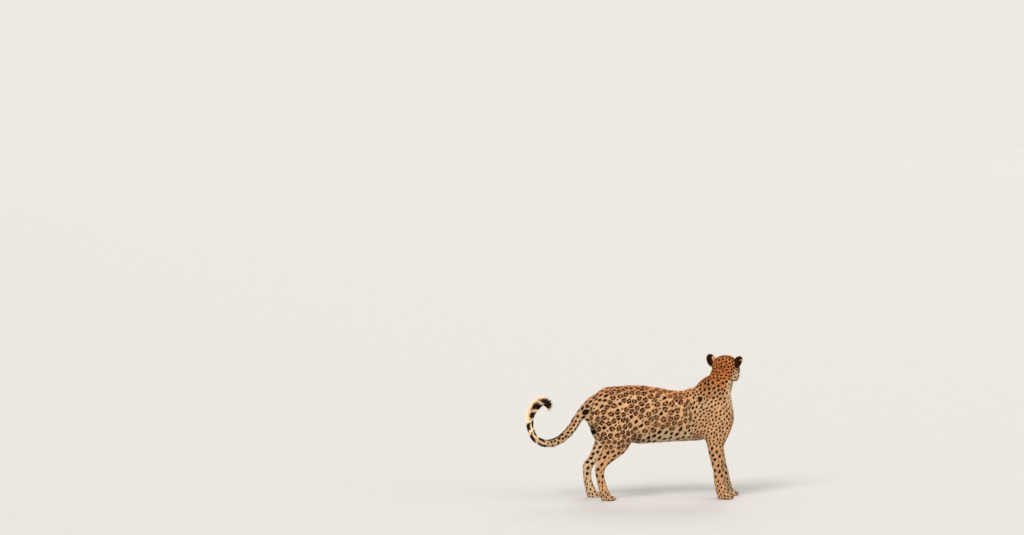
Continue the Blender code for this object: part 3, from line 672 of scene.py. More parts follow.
@dataclass
class Skin:
    """The one seamless skin, with what is known at each of its points."""

    voxel: float = 0.0075
    finer_head: float = 2.5  # how many times finer the head is fused than the rest
    finer_within: float = 0.145  # of the middle of the skull
    merged: float = 1e-6  # corners of a part that lie closer than this are one
    closing: float = 0.0006  # each part is grown by this, so that the gaps between them close
    sole_height: float = 0.004
    over_eye: float = 0.0030  # flesh over each eyeball, before the lids are opened
    lid_sunk: float = 0.0024  # how far the skin lies inside the eyeball, within the opening
    lid_proud: float = 0.0012  # how far the lids lie over it
    lid_edge: float = 0.0004  # how much thicker the lids are along their edges
    lid_fold: float = 0.0008  # how deep the fold over the upper lid is
    apron: float = 0.022  # how far round an eye the face rises to meet its lids
    lip_depth: float = 0.0026
    lip_full: float = 0.0007  # how far the lips stand out beside their line
    groove_depth: float = 0.0016
    toe_groove: float = 0.0054
    smoothing: int = 70  # rounds of it, where a part isn't firm
    nose_tip: tuple = (0.136, 0, -0.014)  # where the hair's way begins, in the head's axes
    surface: Surface = field(init=False)
    lips: Array = field(init=False)  # points along the line of the lips
    groove: Array = field(init=False)  # points along the groove between nose and lips
    node: Array = field(init=False)  # which flesh node each point lies on
    way: Array = field(init=False)  # the distance from the nose, along the skin
    lie: Array = field(init=False)  # the direction in which the hair lies

    def build(self) -> None:
        """Fuses, smooths and insets the skin."""
        self.surface = self.fused()
        self.keep_whole()
        self.node = self.nodes_at(self.surface.points)
        firm = self.grown("firm", 6)
        self.surface.soften(self.smoothing, 1 - firm, 0.030)
        self.surface.soften(6, firm > 0.02, 0.05)
        self.inset()
        self.refine_face()
        self.shape_lids()
        self.shape_mouth()
        self.shape_toes()
        self.find_lie()

    def fused(self) -> Surface:
        """All flesh nodes as one closed surface, the head the finest."""
        whole = bmesh.new()
        for name in FLESH:
            part = bmesh.new()
            part.from_mesh(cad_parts[name].data)
            bmesh.ops.remove_doubles(part, verts=part.verts, dist=self.merged)
            part.normal_update()
            for point in part.verts:
                point.co += point.normal * self.closing
            mesh = mesh_of(part, "part")
            whole.from_mesh(mesh)
            bpy.data.meshes.remove(mesh)
        for side in SIDES.values():
            radius = HEAD.eye_radius + self.over_eye
            bmesh.ops.create_icosphere(whole, subdivisions=4, radius=radius, matrix=HEAD.eye(side))
        mesh = mesh_of(whole, "fused")
        points, _ = mesh_arrays(mesh)
        mesh.vertices.foreach_set("co", self.magnified(points).astype(np.float32).ravel())
        piece = linked("fused", mesh)
        fuse = piece.modifiers.new("Fuse", "REMESH")
        fuse.mode, fuse.voxel_size, fuse.adaptivity = "VOXEL", self.voxel, 0
        depsgraph = bpy.context.evaluated_depsgraph_get()
        points, faces = mesh_arrays(bpy.data.meshes.new_from_object(piece.evaluated_get(depsgraph)))
        bpy.data.objects.remove(piece)
        return Surface(self.magnified(points, back=True), faces)

    def magnified(self, points: Array, back: bool = False) -> Array:
        """Points with the head drawn out to be larger, or drawn back again."""
        middle = np.array(HEAD.place().translation)
        out = points - middle
        reach = np.linalg.norm(out, axis=1)
        rim = self.finer_within
        if back:
            drawn = np.where(reach < rim * self.finer_head, reach / self.finer_head,
                             reach - rim * (self.finer_head - 1))
        else:
            drawn = np.where(reach < rim, reach * self.finer_head, reach + rim * (self.finer_head - 1))
        return middle + out * (drawn / np.maximum(reach, SMALL))[:, None]

    def keep_whole(self) -> None:
        """Drops whatever the skin's main sheet doesn't lead to."""
        nose = np.array(middle_of("nose"))
        led = np.isfinite(self.surface.way_from(nose))
        number = np.cumsum(led) - 1
        faces = self.surface.faces[led[self.surface.faces[:, 0]]]
        self.surface = Surface(self.surface.points[led], number[faces].astype(np.int32))

    @staticmethod
    def nodes_at(points: Array) -> Array:
        """For each point, the number in FLESH of the node nearest to it."""
        corners, faces, owner = [], [], []
        count = 0
        for number, name in enumerate(FLESH):
            part, sides = mesh_arrays(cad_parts[name].data)
            corners.append(part)
            faces.append(sides + count)
            owner.append(np.full(len(sides), number))
            count += len(part)
        tree = BVHTree.FromPolygons(np.concatenate(corners).tolist(), np.concatenate(faces).tolist())
        owner = np.concatenate(owner)
        return np.array([owner[tree.find_nearest(point)[2]] for point in points.tolist()])

    def grown(self, what: str, rounds: int) -> Array:
        """One of the coat's measures at each point, spread smoothly between the parts."""
        return self.surface.evened(measure(what)[self.node], rounds)

    def places(self) -> "Places":
        """All its points, with what is known at each."""
        return Places(self.surface.points, self.surface.normals(), self.lie, self.node)

    def inset(self) -> None:
        """Draws the skin in by the depth of the coat, all but the soles."""
        normals = self.surface.normals()
        sole = (normals[:, 2] < -0.7) * (self.surface.points[:, 2] < self.sole_height)
        depth = self.grown("depth", 30) * (1 - sole) * fineness(self.surface.points)
        steps = 4
        for _ in range(steps):
            self.surface.points -= self.surface.normals() * (depth / steps)[:, None]
            self.surface.soften(2, np.full(len(depth), 0.5) * (1 - sole), 0.05)

    def refine_face(self) -> None:
        """Gives the lids, the lips, the nose's surroundings and the ears smaller faces."""
        eyes = [np.array(HEAD.eye(side).translation) for side in SIDES.values()]
        ears = named("ear")
        lips, _ = MouthLine().on(self.surface)
        snout, beyond_nose = 0.090, 1.0  # the whole snout is refined once
        for reach, ahead, lip in ((0.0240, snout, 0.0085), (0.0220, beyond_nose, 0.0042)):
            points = self.surface.points
            chosen = np.minimum(*[np.linalg.norm(points - eye, axis=1) for eye in eyes]) < reach
            chosen |= (HEAD.own(points)[:, 0] > ahead) | (gap_to(lips, points) < lip)
            if ahead == snout:
                chosen |= ears[self.node]
            self.surface = self.surface.finer(chosen)
        self.node = self.nodes_at(self.surface.points)
        self.surface.soften(14, self.surface.evened(ears[self.node].astype(float), 2), 0.03)

    def shape_lids(self) -> None:
        """Opens the eyes: sinks the skin within each opening and lays lids with a fold round it."""
        radius = HEAD.eye_radius
        points = self.surface.points
        for side in SIDES.values():
            middle = np.array(HEAD.eye(side).translation)
            outside, across, up, reach = OPENING.around(side, points)
            lid = radius + self.lid_proud + self.lid_edge * bell(outside, 0.0013, 0.0010)
            lid -= self.lid_fold * bell(outside, 0.0050, 0.0010) * (up > 0)
            sunk = radius - self.lid_sunk
            target = sunk + (lid - sunk) * ease(-0.0009, 0.0001, outside)
            apron = lid / np.cos(0.80 * np.clip(outside - 0.0015, 0, 0.014) / radius)
            full = ease(self.apron, 0.003, outside) * ease(0.012, 0.002, across)
            beyond = np.maximum(reach, reach * (1 - full) + apron * full)
            away = ease(0.0015, 0.0060, outside)
            target = target * (1 - away) + beyond * away
            near = (reach < radius + 0.020) & (outside < self.apron)
            points[near] = middle + (points[near] - middle) * (target / reach)[near, None]
        outside = OPENING.nearer(points)[0]
        round_lids = ease(0.0020, 0.0060, outside) * ease(0.030, 0.020, outside)
        self.surface.soften(8, 0.8 * round_lids, 0.03)

    def shape_mouth(self) -> None:
        """Presses in the line of the lips and the groove that leads down to it from the nose."""
        self.lips, self.groove = MouthLine().on(self.surface)
        normals = self.surface.normals()
        gap = gap_to(self.lips, self.surface.points)
        press = self.lip_depth * bell(gap, 0, 0.0017) - self.lip_full * bell(gap, 0.0048, 0.0022)
        press += self.groove_depth * bell(gap_to(self.groove, self.surface.points), 0, 0.0012)
        self.surface.points -= normals * press[:, None]

    def shape_toes(self) -> None:
        """Presses in the grooves between the toes."""
        for least in (0.14, 0.45):
            groove = self.surface.evened(PAWS.between_toes(self.surface.points), 1)
            self.surface = self.surface.finer(groove > least)
        self.node = self.nodes_at(self.surface.points)
        press = self.toe_groove * PAWS.between_toes(self.surface.points)
        press *= ease(-0.7, -0.2, self.surface.normals()[:, 2])
        self.surface.points -= self.surface.normals() * press[:, None]
        self.surface.points[:, 2] = np.maximum(self.surface.points[:, 2], 0)

    def find_lie(self) -> None:
        """Works out how the hair lies: away from the nose and the eyes, and on to the toes and the tail."""
        self.way = self.surface.way_from(turned(HEAD.place(), np.array(self.nose_tip)))
        rounds = 12
        lie = self.surface.slope_of(self.surface.evened(self.way, rounds))
        for _ in range(rounds):
            lie = self.surface.laid(self.surface.evened(lie, 2), self.surface.normals())
        outside = OPENING.nearer(self.surface.points)[0]
        away = self.surface.slope_of(outside)
        lie = lie + away * (1.6 * ease(0.012, 0.001, outside))[:, None]
        self.lie = self.surface.laid(self.surface.evened(lie, 2), self.surface.normals())


# ---- Markings ----


class Mark(Enum):
    """The kinds of marking."""

    SPOT = 0  # solid
    ROSETTE = 1  # a broken ring round a tawny middle
    DOT = 2  # a small one that fills a gap between others


@dataclass
class Places:
    """Places on the skin: points with their normals, the lie of the hair and the node they are on."""

    at: Array
    normal: Array
    lie: Array
    node: Array

    def on(self, *starts: str) -> Array:
        """1 on nodes whose names start with one of these, and 0 elsewhere."""
        return named(*starts).astype(float)[self.node]

    def of(self, chosen: Array) -> "Places":
        """Only the chosen places."""
        return Places(self.at[chosen], self.normal[chosen], self.lie[chosen], self.node[chosen])


def nearest(points: Array, asked: Array, count: int) -> Array:
    """The numbers of the points nearest to each asked place, nearest first.

    Args:
        points: The points to choose from.
        asked: The places asked about.
        count: How many are wanted for each.

    Returns:
        A row for the nearest, a row for the next nearest, and so on.
    """
    tree = tree_of(points)
    return np.array([[found[1] for found in tree.find_n(at, count)] for at in asked.tolist()]).T


BREAST_WAY = np.array((0.95, -0.05, -0.30))  # the way that the lower neck's front faces


def throat_way() -> Array:
    """The way that the throat faces, between the chin's and the breast's."""
    below_chin, ahead_of_breast = Vector((0.8, 0, -0.6)), Vector((0.5, 0, -0.2))
    return np.array((HEAD.place().to_3x3() @ below_chin + ahead_of_breast).normalized())


def wavy(turn: Array, phases: Array, waves: tuple) -> Array:
    """About 1 all round a marking, more and less in waves given as their number and height."""
    return 1 + sum(high * np.sin(number * turn + phase) for (number, high), phase in zip(waves, phases))


@dataclass
class Markings:
    """The coat's pattern: where its spots and rosettes are, and how they are drawn."""

    skin: Skin
    tries: int = 48000  # places tried for a marking
    rosette_from: float = 0.0200  # the least spacing at which a marking is a rosette
    blotch_share: float = 0.07  # of rosettes that stay solid
    fill_gap: float = 0.90  # gaps of at least this share of the spacing get a dot
    dot_share: float = 0.55  # how large a dot's own ground is, next to that of a full marking
    muzzle_spots: float = 0.0105  # the spacing on the front of the head
    cheek_spots: float = 0.0180  # and low on its sides
    chest_spots: tuple = (0.0162, 0.0280)  # beside the shoulders, and behind them
    denser: float = 0.20  # how much closer markings are on the back and low on the thighs
    denser_hip: float = 0.12  # and on the upper hip
    solid: float = 0.40  # a solid spot's radius, as a share of the width of its ground
    fuller: tuple = (  # how much more that is on some parts
        (("chest", "rump", "thigh", "tail"), 0.05), (("shoulder",), 0.02), (("neck", "head"), 0.12),
    )
    finer_cheek: float = 0.23  # and how much less on the cheeks and the throat
    finer_throat: float = 0.24
    ring: float = 0.620  # a rosette's radius, as the same share
    stroke: float = 0.262  # how thick its ring is, as a share of the width of its ground
    thicker: float = 0.088  # how much more that is on rump and thighs
    stretch: tuple = (1.06, 1.24)  # along the hair, of rosettes and of other markings
    rim_waves: tuple = ((2, 0.10), (3, 0.08), (5, 0.04))
    stroke_waves: tuple = ((3, 0.50), (2, 0.42), (5, 0.25))  # deep ones, which break the ring
    blur: float = 0.0080  # from plain to fully dark, at a marking's edge
    seam: float = 0.0016  # half the pale line between one marking and the next
    soft_edge: float = 0.0016  # how far from the seam a marking's edge turns to run along it
    blotches: tuple = (  # great dark blotches: the node, how far along and up it, how wide
        ("rump", 0.17, 0.60, 0.044), ("thigh_right", 0.10, 0.32, 0.046), ("neck", 0.16, 0.30, 0.036),
    )
    blot_step: float = 0.052  # from one blot of the tail's far end to the next
    blot_height: float = 0.012  # how steeply the blots' edges rise along the tail
    blot_side: float = 0.022  # and round it
    blots_from_tip: float = 0.31  # how far from the tip they reach
    white_from_tip: float = 0.155  # how far from it only the inner side has them
    pale_end: float = 0.006
    whisker_spot: float = 0.0015
    whisker_roots: Array = field(init=False)
    marks: "Places" = field(init=False)  # the markings' middles
    own: Array = field(init=False)  # the width of each marking's own ground
    share: Array = field(init=False)  # how much of it a solid spot's radius is
    kind: Array = field(init=False)
    phase: Array = field(init=False)

    def build(self) -> None:
        """Sets out the middles of all markings."""
        rng = np.random.default_rng(SEED)
        surface = self.skin.surface
        thickness = self.spacing(self.skin.places().of(surface.faces[:, 0])) ** -2
        places, _, _ = scattered(self.skin, thickness, self.tries, rng)
        size = self.spacing(places)
        chosen, kinds = self.set_out(places, size)
        self.marks, size = places.of(chosen), size[chosen]
        ringed = self.may_ring(self.marks, size) & (rng.random(len(size)) > self.blotch_share)
        dots = kinds == Mark.DOT.value
        self.kind = np.where(ringed & ~dots, Mark.ROSETTE.value, kinds)
        self.own = size * np.where(dots, self.dot_share, 1)
        facing_left = 0.3 * np.maximum(0, self.marks.normal[:, 1])  # the blotches are on the right
        for node, along, up, wide in self.blotches:
            low, high = (np.array(corner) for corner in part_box(node))
            apart = self.marks.at - (low + (high - low) * (along, 0.0, up))
            blotch = np.argmin(np.hypot(apart[:, 0], apart[:, 2]) + facing_left)
            self.kind[blotch], self.own[blotch] = Mark.SPOT.value, wide
        self.share = self.solid_share(self.marks)
        self.phase = rng.uniform(0, math.tau, (len(size), 7))
        self.whisker_roots = WHISKERS.roots(surface)

    def may_ring(self, places: Places, size: Array) -> Array:
        """Where markings are rosettes: on trunk and thighs, but not below, on the hip or where small."""
        hip = self.upper_hip(places) > 0.6
        under = (places.on(*TRUNK) > 0) & (places.normal[:, 2] < -0.30)
        return (size > self.rosette_from) & (places.on(*TRUNK, "thigh") > 0) & ~(under | hip)

    def spacing(self, places: Places) -> Array:
        """How far apart the markings are at each place."""
        size = measure("spots")[places.node]
        head = HEAD.own(places.at)
        on_head = places.on("head") > 0
        size = np.where(on_head & (head[:, 0] > 0.030), self.muzzle_spots, size)
        cheek = on_head & (head[:, 2] < -0.040) & (head[:, 0] > -0.040)
        size = np.where(cheek, self.cheek_spots, size)
        near, far = self.chest_spots
        chest = near + (far - near) * ease(0.40, 0.16, places.at[:, 0])
        size = np.where(places.on("chest") > 0, chest, size)
        back = places.on(*TRUNK) * ease(0.50, 0.88, places.normal[:, 2])
        low = places.on("thigh") * ease(0.38, 0.32, places.at[:, 2])
        hip = self.denser_hip * self.upper_hip(places)
        return size * (1 - np.maximum.reduce([self.denser * back, hip, self.denser * low]))

    @staticmethod
    def upper_hip(places: Places) -> Array:
        """How much each place is of the upper hip, before the root of the tail."""
        upper = ease(0.05, 0.50, places.normal[:, 2])
        return places.on("rump") * upper * ease(-0.10, -0.20, places.at[:, 0])

    def solid_share(self, places: Places) -> Array:
        """How much of the width of its ground a solid spot's radius is."""
        head = HEAD.own(places.at)
        cheek = places.on("head") * ease(-0.005, -0.025, head[:, 2]) * ease(-0.055, -0.030, head[:, 0])
        facing = np.maximum(places.normal @ throat_way(), places.normal @ BREAST_WAY)
        throat = places.on("neck") * ease(0.35, 0.75, facing)
        share = self.solid + sum(more * places.on(*nodes) for nodes, more in self.fuller)
        return share - self.finer_cheek * cheek - self.finer_throat * throat

    def set_out(self, places: Places, size: Array) -> tuple[Array, Array]:
        """Picks evenly spread places, always the one farthest from those already picked.

        Args:
            places: The places to pick from.
            size: The spacing wanted at each.

        Returns:
            The numbers of the picked places, and each one's kind of marking, as a number.
        """
        picked, kinds = [], []
        gap = np.full(len(size), np.inf)
        best = 0
        round_a_fold = 0.020  # what a place that faces the other way is farther off
        while gap[best] > self.fill_gap:
            picked.append(best)
            kinds.append((Mark.SPOT if gap[best] > 1 else Mark.DOT).value)
            apart = places.at - places.at[best]
            turn = 1 - places.normal @ places.normal[best]
            gap = np.minimum(gap, np.sqrt(dot(apart, apart) + (round_a_fold * turn) ** 2) / size)
            best = int(gap.argmax())
        return np.array(picked), np.array(kinds)

    def pattern(self, places: Places) -> tuple[Array, Array]:
        """How dark each place is with markings, and how far inside a rosette.

        Args:
            places: The places asked about.

        Returns:
            Two rows of values from 0 to 1: dark is 0.5 at a marking's edge.
        """
        near = nearest(self.marks.at, places.at, 6)
        apart = places.at - self.marks.at[near]
        lie, normal, own = self.marks.lie[near], self.marks.normal[near], self.own[near]
        u, v, off = dot(apart, lie), dot(apart, np.cross(normal, lie)), dot(apart, normal)
        drawn = np.where(self.kind[near] == Mark.ROSETTE.value, *self.stretch)
        u, v = u / drawn, v * drawn
        reach = np.sqrt(u * u + v * v + 0.4 * off * off)
        share = reach / own + 0.5 * (1 - dot(normal, places.normal))
        first, second = np.argsort(share, axis=0)[:2]
        row = np.arange(len(places.at))
        mark, reach, own = near[first, row], reach[first, row], own[first, row]
        border = 0.5 * (share[second, row] - share[first, row]) * own - self.seam
        turn, phase = np.arctan2(v[first, row], u[first, row]), self.phase[mark].T
        ring = self.kind[mark] == Mark.ROSETTE.value
        solid = self.share[mark] + 0.030 * np.sin(phase[6])
        edge = own * np.where(ring, self.ring, solid) * wavy(turn, phase[:3], self.rim_waves) - reach
        edge = -self.soft_edge * np.logaddexp(-edge / self.soft_edge, -border / self.soft_edge)
        stroke = own * (self.stroke + self.thicker * places.on("thigh", "rump"))
        stroke *= wavy(turn, phase[3:6], self.stroke_waves)
        inside = np.where(ring, np.minimum(edge, stroke - edge), edge)
        dark = self.on_tail(places, np.where(self.plain(places), -1.0, inside))
        dark = np.maximum(dark, 2 * (self.whisker_spot - gap_to(self.whisker_roots, places.at)))
        return np.clip(0.5 + dark / self.blur, 0, 1), ease(0.0005, 0.0035, edge) * ring

    @staticmethod
    def plain(places: Places) -> Array:
        """Where no markings grow: the snout, the lips' surroundings and round the eyes."""
        head = HEAD.own(places.at)
        snout = (head[:, 0] > 0.078) & (head[:, 2] < 0.02)
        return (places.on("head") > 0) & (snout | (OPENING.nearer(places.at)[0] < 0.0035))

    def on_tail(self, places: Places, inside: Array) -> Array:
        """Turns the markings of the tail into a dark line above, partly its own dark top and partly painted
        shade along that edge, and blots on the raised far end.

        Args:
            places: The places asked about.
            inside: How far inside a marking each place is.

        Returns:
            The same, with the tail's own markings.
        """
        from_tip, upper = from_tail_tip(self.skin, places), upper_tail(places)
        along = (from_tip - 0.010) * math.tau / self.blot_step
        wave = np.sin(along + 0.5 * ripple(places.at, 0.06, 3))
        side = np.where(from_tip < self.white_from_tip, upper + 0.50, np.abs(upper) - 0.22)
        blots = np.minimum(self.blot_height * (wave + 0.72), self.blot_side * side)
        on_tail = places.on("tail") > 0
        # The dark line along the tail's upper side: partly its own darker top, partly painted shade along
        # that edge.
        line = self.blot_height * (upper - 0.80 + 0.15 * ripple(places.at, 0.030, 4)) * on_tail
        marked = np.where(from_tip < self.blots_from_tip, blots, np.maximum(inside, line))
        marked = np.where(from_tip < self.pale_end, -1.0, marked)
        return np.where(on_tail, marked, inside)

    def read(self, places: Places) -> dict[str, Array]:
        """Every value that the skin and the coat carry, at each place."""
        dark, core = self.pattern(places)
        values = Shades(self.skin).read(places)
        black = values.pop("black")
        clear = 1 - places.on("ear")
        return {**values, "dark": np.maximum(dark * clear, black), "core": core * clear}


def from_tail_tip(skin: Skin, places: Places) -> Array:
    """How far each place on the tail is from its tip along the skin, and far off elsewhere."""
    on_tail = places.on("tail") > 0
    way = np.zeros(len(places.at))
    if on_tail.any():
        way[on_tail] = skin.way[nearest(skin.surface.points, places.at[on_tail], 1)[0]]
    return skin.way.max() - way


def upper_tail(places: Places) -> Array:
    """How much each place on the tail faces its upper side, which a raised tail turns inwards."""
    curl = (middle_of("tail_bend") + middle_of("tail_tip")) / 2
    above_root = middle_of("tail_root") + Vector((-0.15, 0, 0.20))
    raised = places.on("tail_tip", "tail_bend")[:, None] > 0
    return dot(unit(np.where(raised, np.array(curl), np.array(above_root)) - places.at), places.normal)


def shade(measures: tuple, value: Array) -> Array:
    """A shade, given by the values at which it begins and is full, and how much of it there is then."""
    begins, full, much = measures
    return much * ease(begins, full, value)


@dataclass
class Shades:
    """How rufous, pale, black and bare the coat is from place to place, by the measures of shade()."""

    skin: Skin
    uneven: float = 0.12  # how far the shades run into each other
    throat: tuple = (0.25, 0.80, 1.0)  # by how much a place faces the throat's way
    breast: tuple = (0.50, 0.74, 1.0)  # or the breast's
    belly: tuple = (-0.15, -0.80, 1.0)  # by how much it faces up, as the next
    flank: tuple = (0.30, -0.30, 0.12)
    flank_all: float = 0.16  # what the whole trunk has besides
    thigh_all: float = 0.22
    low_trunk: tuple = (0.40, 0.30, 0.35)  # by its height
    tail_under: tuple = (0.05, -0.55, 1.0)  # by how much it faces the tail's upper side
    tail_end: tuple = (0.42, 0.24, 0.85)  # by how far the tail's tip is
    inside_legs: tuple = (0.35, 0.95, 0.85)  # by how much it faces the other legs
    chest_front: tuple = (0.35, 0.95, 0.45)  # by how much it faces ahead: partly the chest's own cream, partly painted light on its lit front
    nape_ahead: tuple = (0.24, 0.36, 1.0)  # by how far ahead it is
    nape_height: tuple = (0.53, 0.68, 1.0)
    crown: float = 0.95  # how rufous the head is, and how much less its face
    face: tuple = (0.00, 0.06, 0.50)
    nape: float = 0.95
    spine: tuple = (0.35, 0.92, 0.92)  # by how much it faces up
    limbs: tuple = ((("shoulder", "thigh"), 0.05), (LEGS, 0.10), (("tail",), 0.12))
    eye_patches: tuple = (  # pale patches by the eyes: ahead, aside, above, reach and how pale
        (0.064, 0.037, -0.008, 0.014, 0.90), (0.062, 0.027, 0.037, 0.012, 0.45),
    )
    patch_edge: float = 0.007
    ear_patches: dict = field(default_factory=lambda: {  # on the ears' backs: inwards, up, half as wide
        "left": (0.0125, 0.0040, 0.0145), "right": (-0.0180, 0.0290, 0.0034)})

    def read(self, places: Places) -> dict[str, Array]:
        """The shades of some places.

        Args:
            places: The places asked about.

        Returns:
            A row of values from 0 to 1 for each name.
        """
        soft = self.uneven * ripple(places.at, 0.045, 11)
        front = np.maximum(shade(self.throat, places.normal @ throat_way() + soft),
                           shade(self.breast, places.normal @ BREAST_WAY + 0.5 * soft))
        pale = self.paleness(places, front, soft) + places.on("head") * self.pale_face(places, soft)
        values = {"rufous": self.rufousness(places, front, soft), "pale": pale,
                  "black": np.zeros(len(places.at))}
        for word in SIDES:
            mine = places.on(f"ear_{word}") > 0
            for name, row in self.ear(word, places.of(mine), soft[mine]).items():
                values[name][mine] = row
        black, bare = self.lines(places)
        values["black"] = np.maximum(values["black"], black)
        values["pale"] = np.clip(values["pale"], 0, 1)
        values["rufous"] = np.clip(values["rufous"], 0, 1) * (1 - values["pale"])
        return {**values, "bare": bare}

    def paleness(self, places: Places, front: Array, soft: Array) -> Array:
        """How pale the body is: below, at the throat, inside the legs and at the end of the tail."""
        up, height = places.normal[:, 2], places.at[:, 2]
        trunk = shade(self.belly, up + soft) + self.flank_all + shade(self.flank, up)
        trunk += shade(self.low_trunk, height + 0.2 * soft)
        tail = np.maximum(shade(self.tail_under, upper_tail(places) + soft),
                          shade(self.tail_end, from_tail_tip(self.skin, places)))
        inward = -places.normal[:, 1] * np.sign(places.at[:, 1] + SMALL)
        legs = places.on(*LEGS, "shoulder", "thigh") * shade(self.inside_legs, inward + 0.5 * soft)
        # The chest's front is painted paler: partly its own cream, partly painted light on its front.
        chest = places.on("chest") * shade(self.chest_front, places.normal[:, 0]) * ease(0.2, -0.4, up)
        return (places.on(*TRUNK) * trunk + places.on("neck") * front + places.on("tail") * tail
                + self.thigh_all * places.on("thigh") + legs + chest)

    def pale_face(self, places: Places, soft: Array) -> Array:
        """How pale the face is: on jaw, cheeks and snout, and in patches by the eyes."""
        head = HEAD.own(places.at)
        ahead, above = head[:, 0], head[:, 2]
        aside = np.abs(places.normal @ np.array(HEAD.place().to_3x3()))[:, 1]
        below_jaw = above - 0.20 * np.maximum(ahead, 0) + 0.1 * soft
        jaw = ease(-0.030, -0.052, below_jaw) * ease(-0.055, -0.020, ahead)
        cheek = 0.9 * ease(0.20, 0.60, aside) * ease(0.010, -0.018, above) * ease(-0.075, -0.05, ahead)
        snout = ease(0.080, 0.098, ahead) * ease(0.000, -0.016, above)
        patches = [
            shade((reach, reach - self.patch_edge, much), np.linalg.norm(head - (x, side * y, z), axis=1))
            for side in SIDES.values() for x, y, z, reach, much in self.eye_patches
        ]
        return np.maximum.reduce([jaw, cheek, snout, *patches])

    def rufousness(self, places: Places, front: Array, soft: Array) -> Array:
        """How rufous the animal is: on the head, the nape and along the back."""
        nape = shade(self.nape_ahead, places.at[:, 0])
        nape = nape * shade(self.nape_height, places.at[:, 2] + 0.2 * soft) * (1 - front)
        head = self.crown - shade(self.face, HEAD.own(places.at)[:, 0])
        rufous = places.on("head") * head + places.on("neck", *TRUNK, "shoulder", "thigh") * nape * self.nape
        rufous += places.on(*TRUNK) * shade(self.spine, places.normal[:, 2]) * (1 - nape)
        return rufous + sum(much * places.on(*nodes) for nodes, much in self.limbs)

    def ear(self, word: str, places: Places, soft: Array) -> dict[str, Array]:
        """The shades of one ear: black behind with a pale patch, and pale inside but for its depth, which is
        darker and more rufous, partly the ear's own darker skin and partly painted shade in the hollow of
        the cup.
        """
        side = SIDES[word]
        ear, facing = HEAD.in_ear(side, places.at, places.normal)
        out_of_cup, facing_in = facing[:, 0], -dot(unit(ear[:, 1:]), facing[:, 1:])
        behind = ease(0.45, 0.05, out_of_cup) * ease(0.30, 0.00, facing_in)
        aside, above, wide = self.ear_patches[word]
        patch = np.hypot(ear[:, 1] + side * aside, (ear[:, 2] - above) * 0.75) / wide + soft
        low = ease(-0.030, -0.020, ear[:, 2])
        # Deep in the cup the colour is painted darker and more rufous: partly the ear's own darker skin,
        # partly painted shade in the hollow.
        deep = ease(0.021, 0.007, np.hypot(ear[:, 1], 0.7 * (ear[:, 2] - 0.002)))
        deep *= ease(0.5, 0.8, out_of_cup)
        return {
            "black": behind * low * ease(0.85, 1.15, patch),
            "pale": ease(0.25, 0.6, out_of_cup) * (1 - 0.75 * deep),
            "rufous": np.maximum.reduce([0.6 * (1 - low), 0.50 * behind, 0.7 * deep]),
        }

    def lines(self, places: Places) -> tuple[Array, Array]:
        """The face's black lines, and where there is no hair.

        Args:
            places: The places asked about.

        Returns:
            How black each place is with the rims of the eyes, the streak from their inner corners
            or the lips, and how bare it is.
        """
        on_head = places.on("head")
        outside, across, above_corners = OPENING.nearer(places.at)
        streak = ease(0.0026, 0.0010, np.abs(above_corners + 0.10 * (across - 0.0125)))
        streak *= ease(0.0240, 0.0180, across) * ease(0.0105, 0.0125, across) * ease(0.011, 0.008, outside)
        rim = ease(0.0042, 0.0024, outside)
        from_lips, from_groove = (gap_to(line, places.at) for line in (self.skin.lips, self.skin.groove))
        wider = 0.0016 * ease(0.100, 0.080, HEAD.own(places.at)[:, 0])
        lip = ease(0.0026, 0.0016, from_lips - wider)
        nose = turned(HEAD.nose().inverted(), places.at) / (np.array(HEAD.nose_radii) * 1.03)
        bare_face = np.maximum.reduce([
            ease(0.0020, 0.0010, outside), ease(0.0021, 0.0012, from_lips),
            ease(0.0014, 0.0008, from_groove), np.linalg.norm(nose, axis=1) < 1,
        ])
        sole = ease(-0.80, -0.92, places.normal[:, 2]) * (places.at[:, 2] < self.skin.sole_height)
        return on_head * np.maximum.reduce([streak, rim, lip]), np.maximum(sole, on_head * bare_face)


def scattered(skin: Skin, weight: Array, number: int,
              rng: np.random.Generator) -> tuple[Places, Array, Array]:
    """Places strewn evenly over the skin.

    Args:
        skin: The skin.
        weight: How thickly each triangle is strewn.
        number: How many places.
        rng: The source of chance.

    Returns:
        The places, the triangle that each is on, and its shares of that triangle's corners.
    """
    surface = skin.surface
    total = np.cumsum(surface.areas() * weight)
    steps = (np.arange(number) + rng.random(number)) * total[-1] / number
    face = np.minimum(np.searchsorted(total, steps), len(total) - 1)
    a, b = np.sqrt(rng.random(number)), rng.random(number)
    share = np.stack([1 - a, a * (1 - b), a * b], axis=1)
    points = surface.faces[face]

    def between(values: Array) -> Array:
        return (values[points] * share[:, :, None]).sum(1)

    normal = unit(between(surface.normals()))
    lie = surface.laid(between(skin.lie), normal)
    return Places(between(surface.points), normal, lie, skin.node[points[:, 0]]), face, share


# ---- Finishes ----


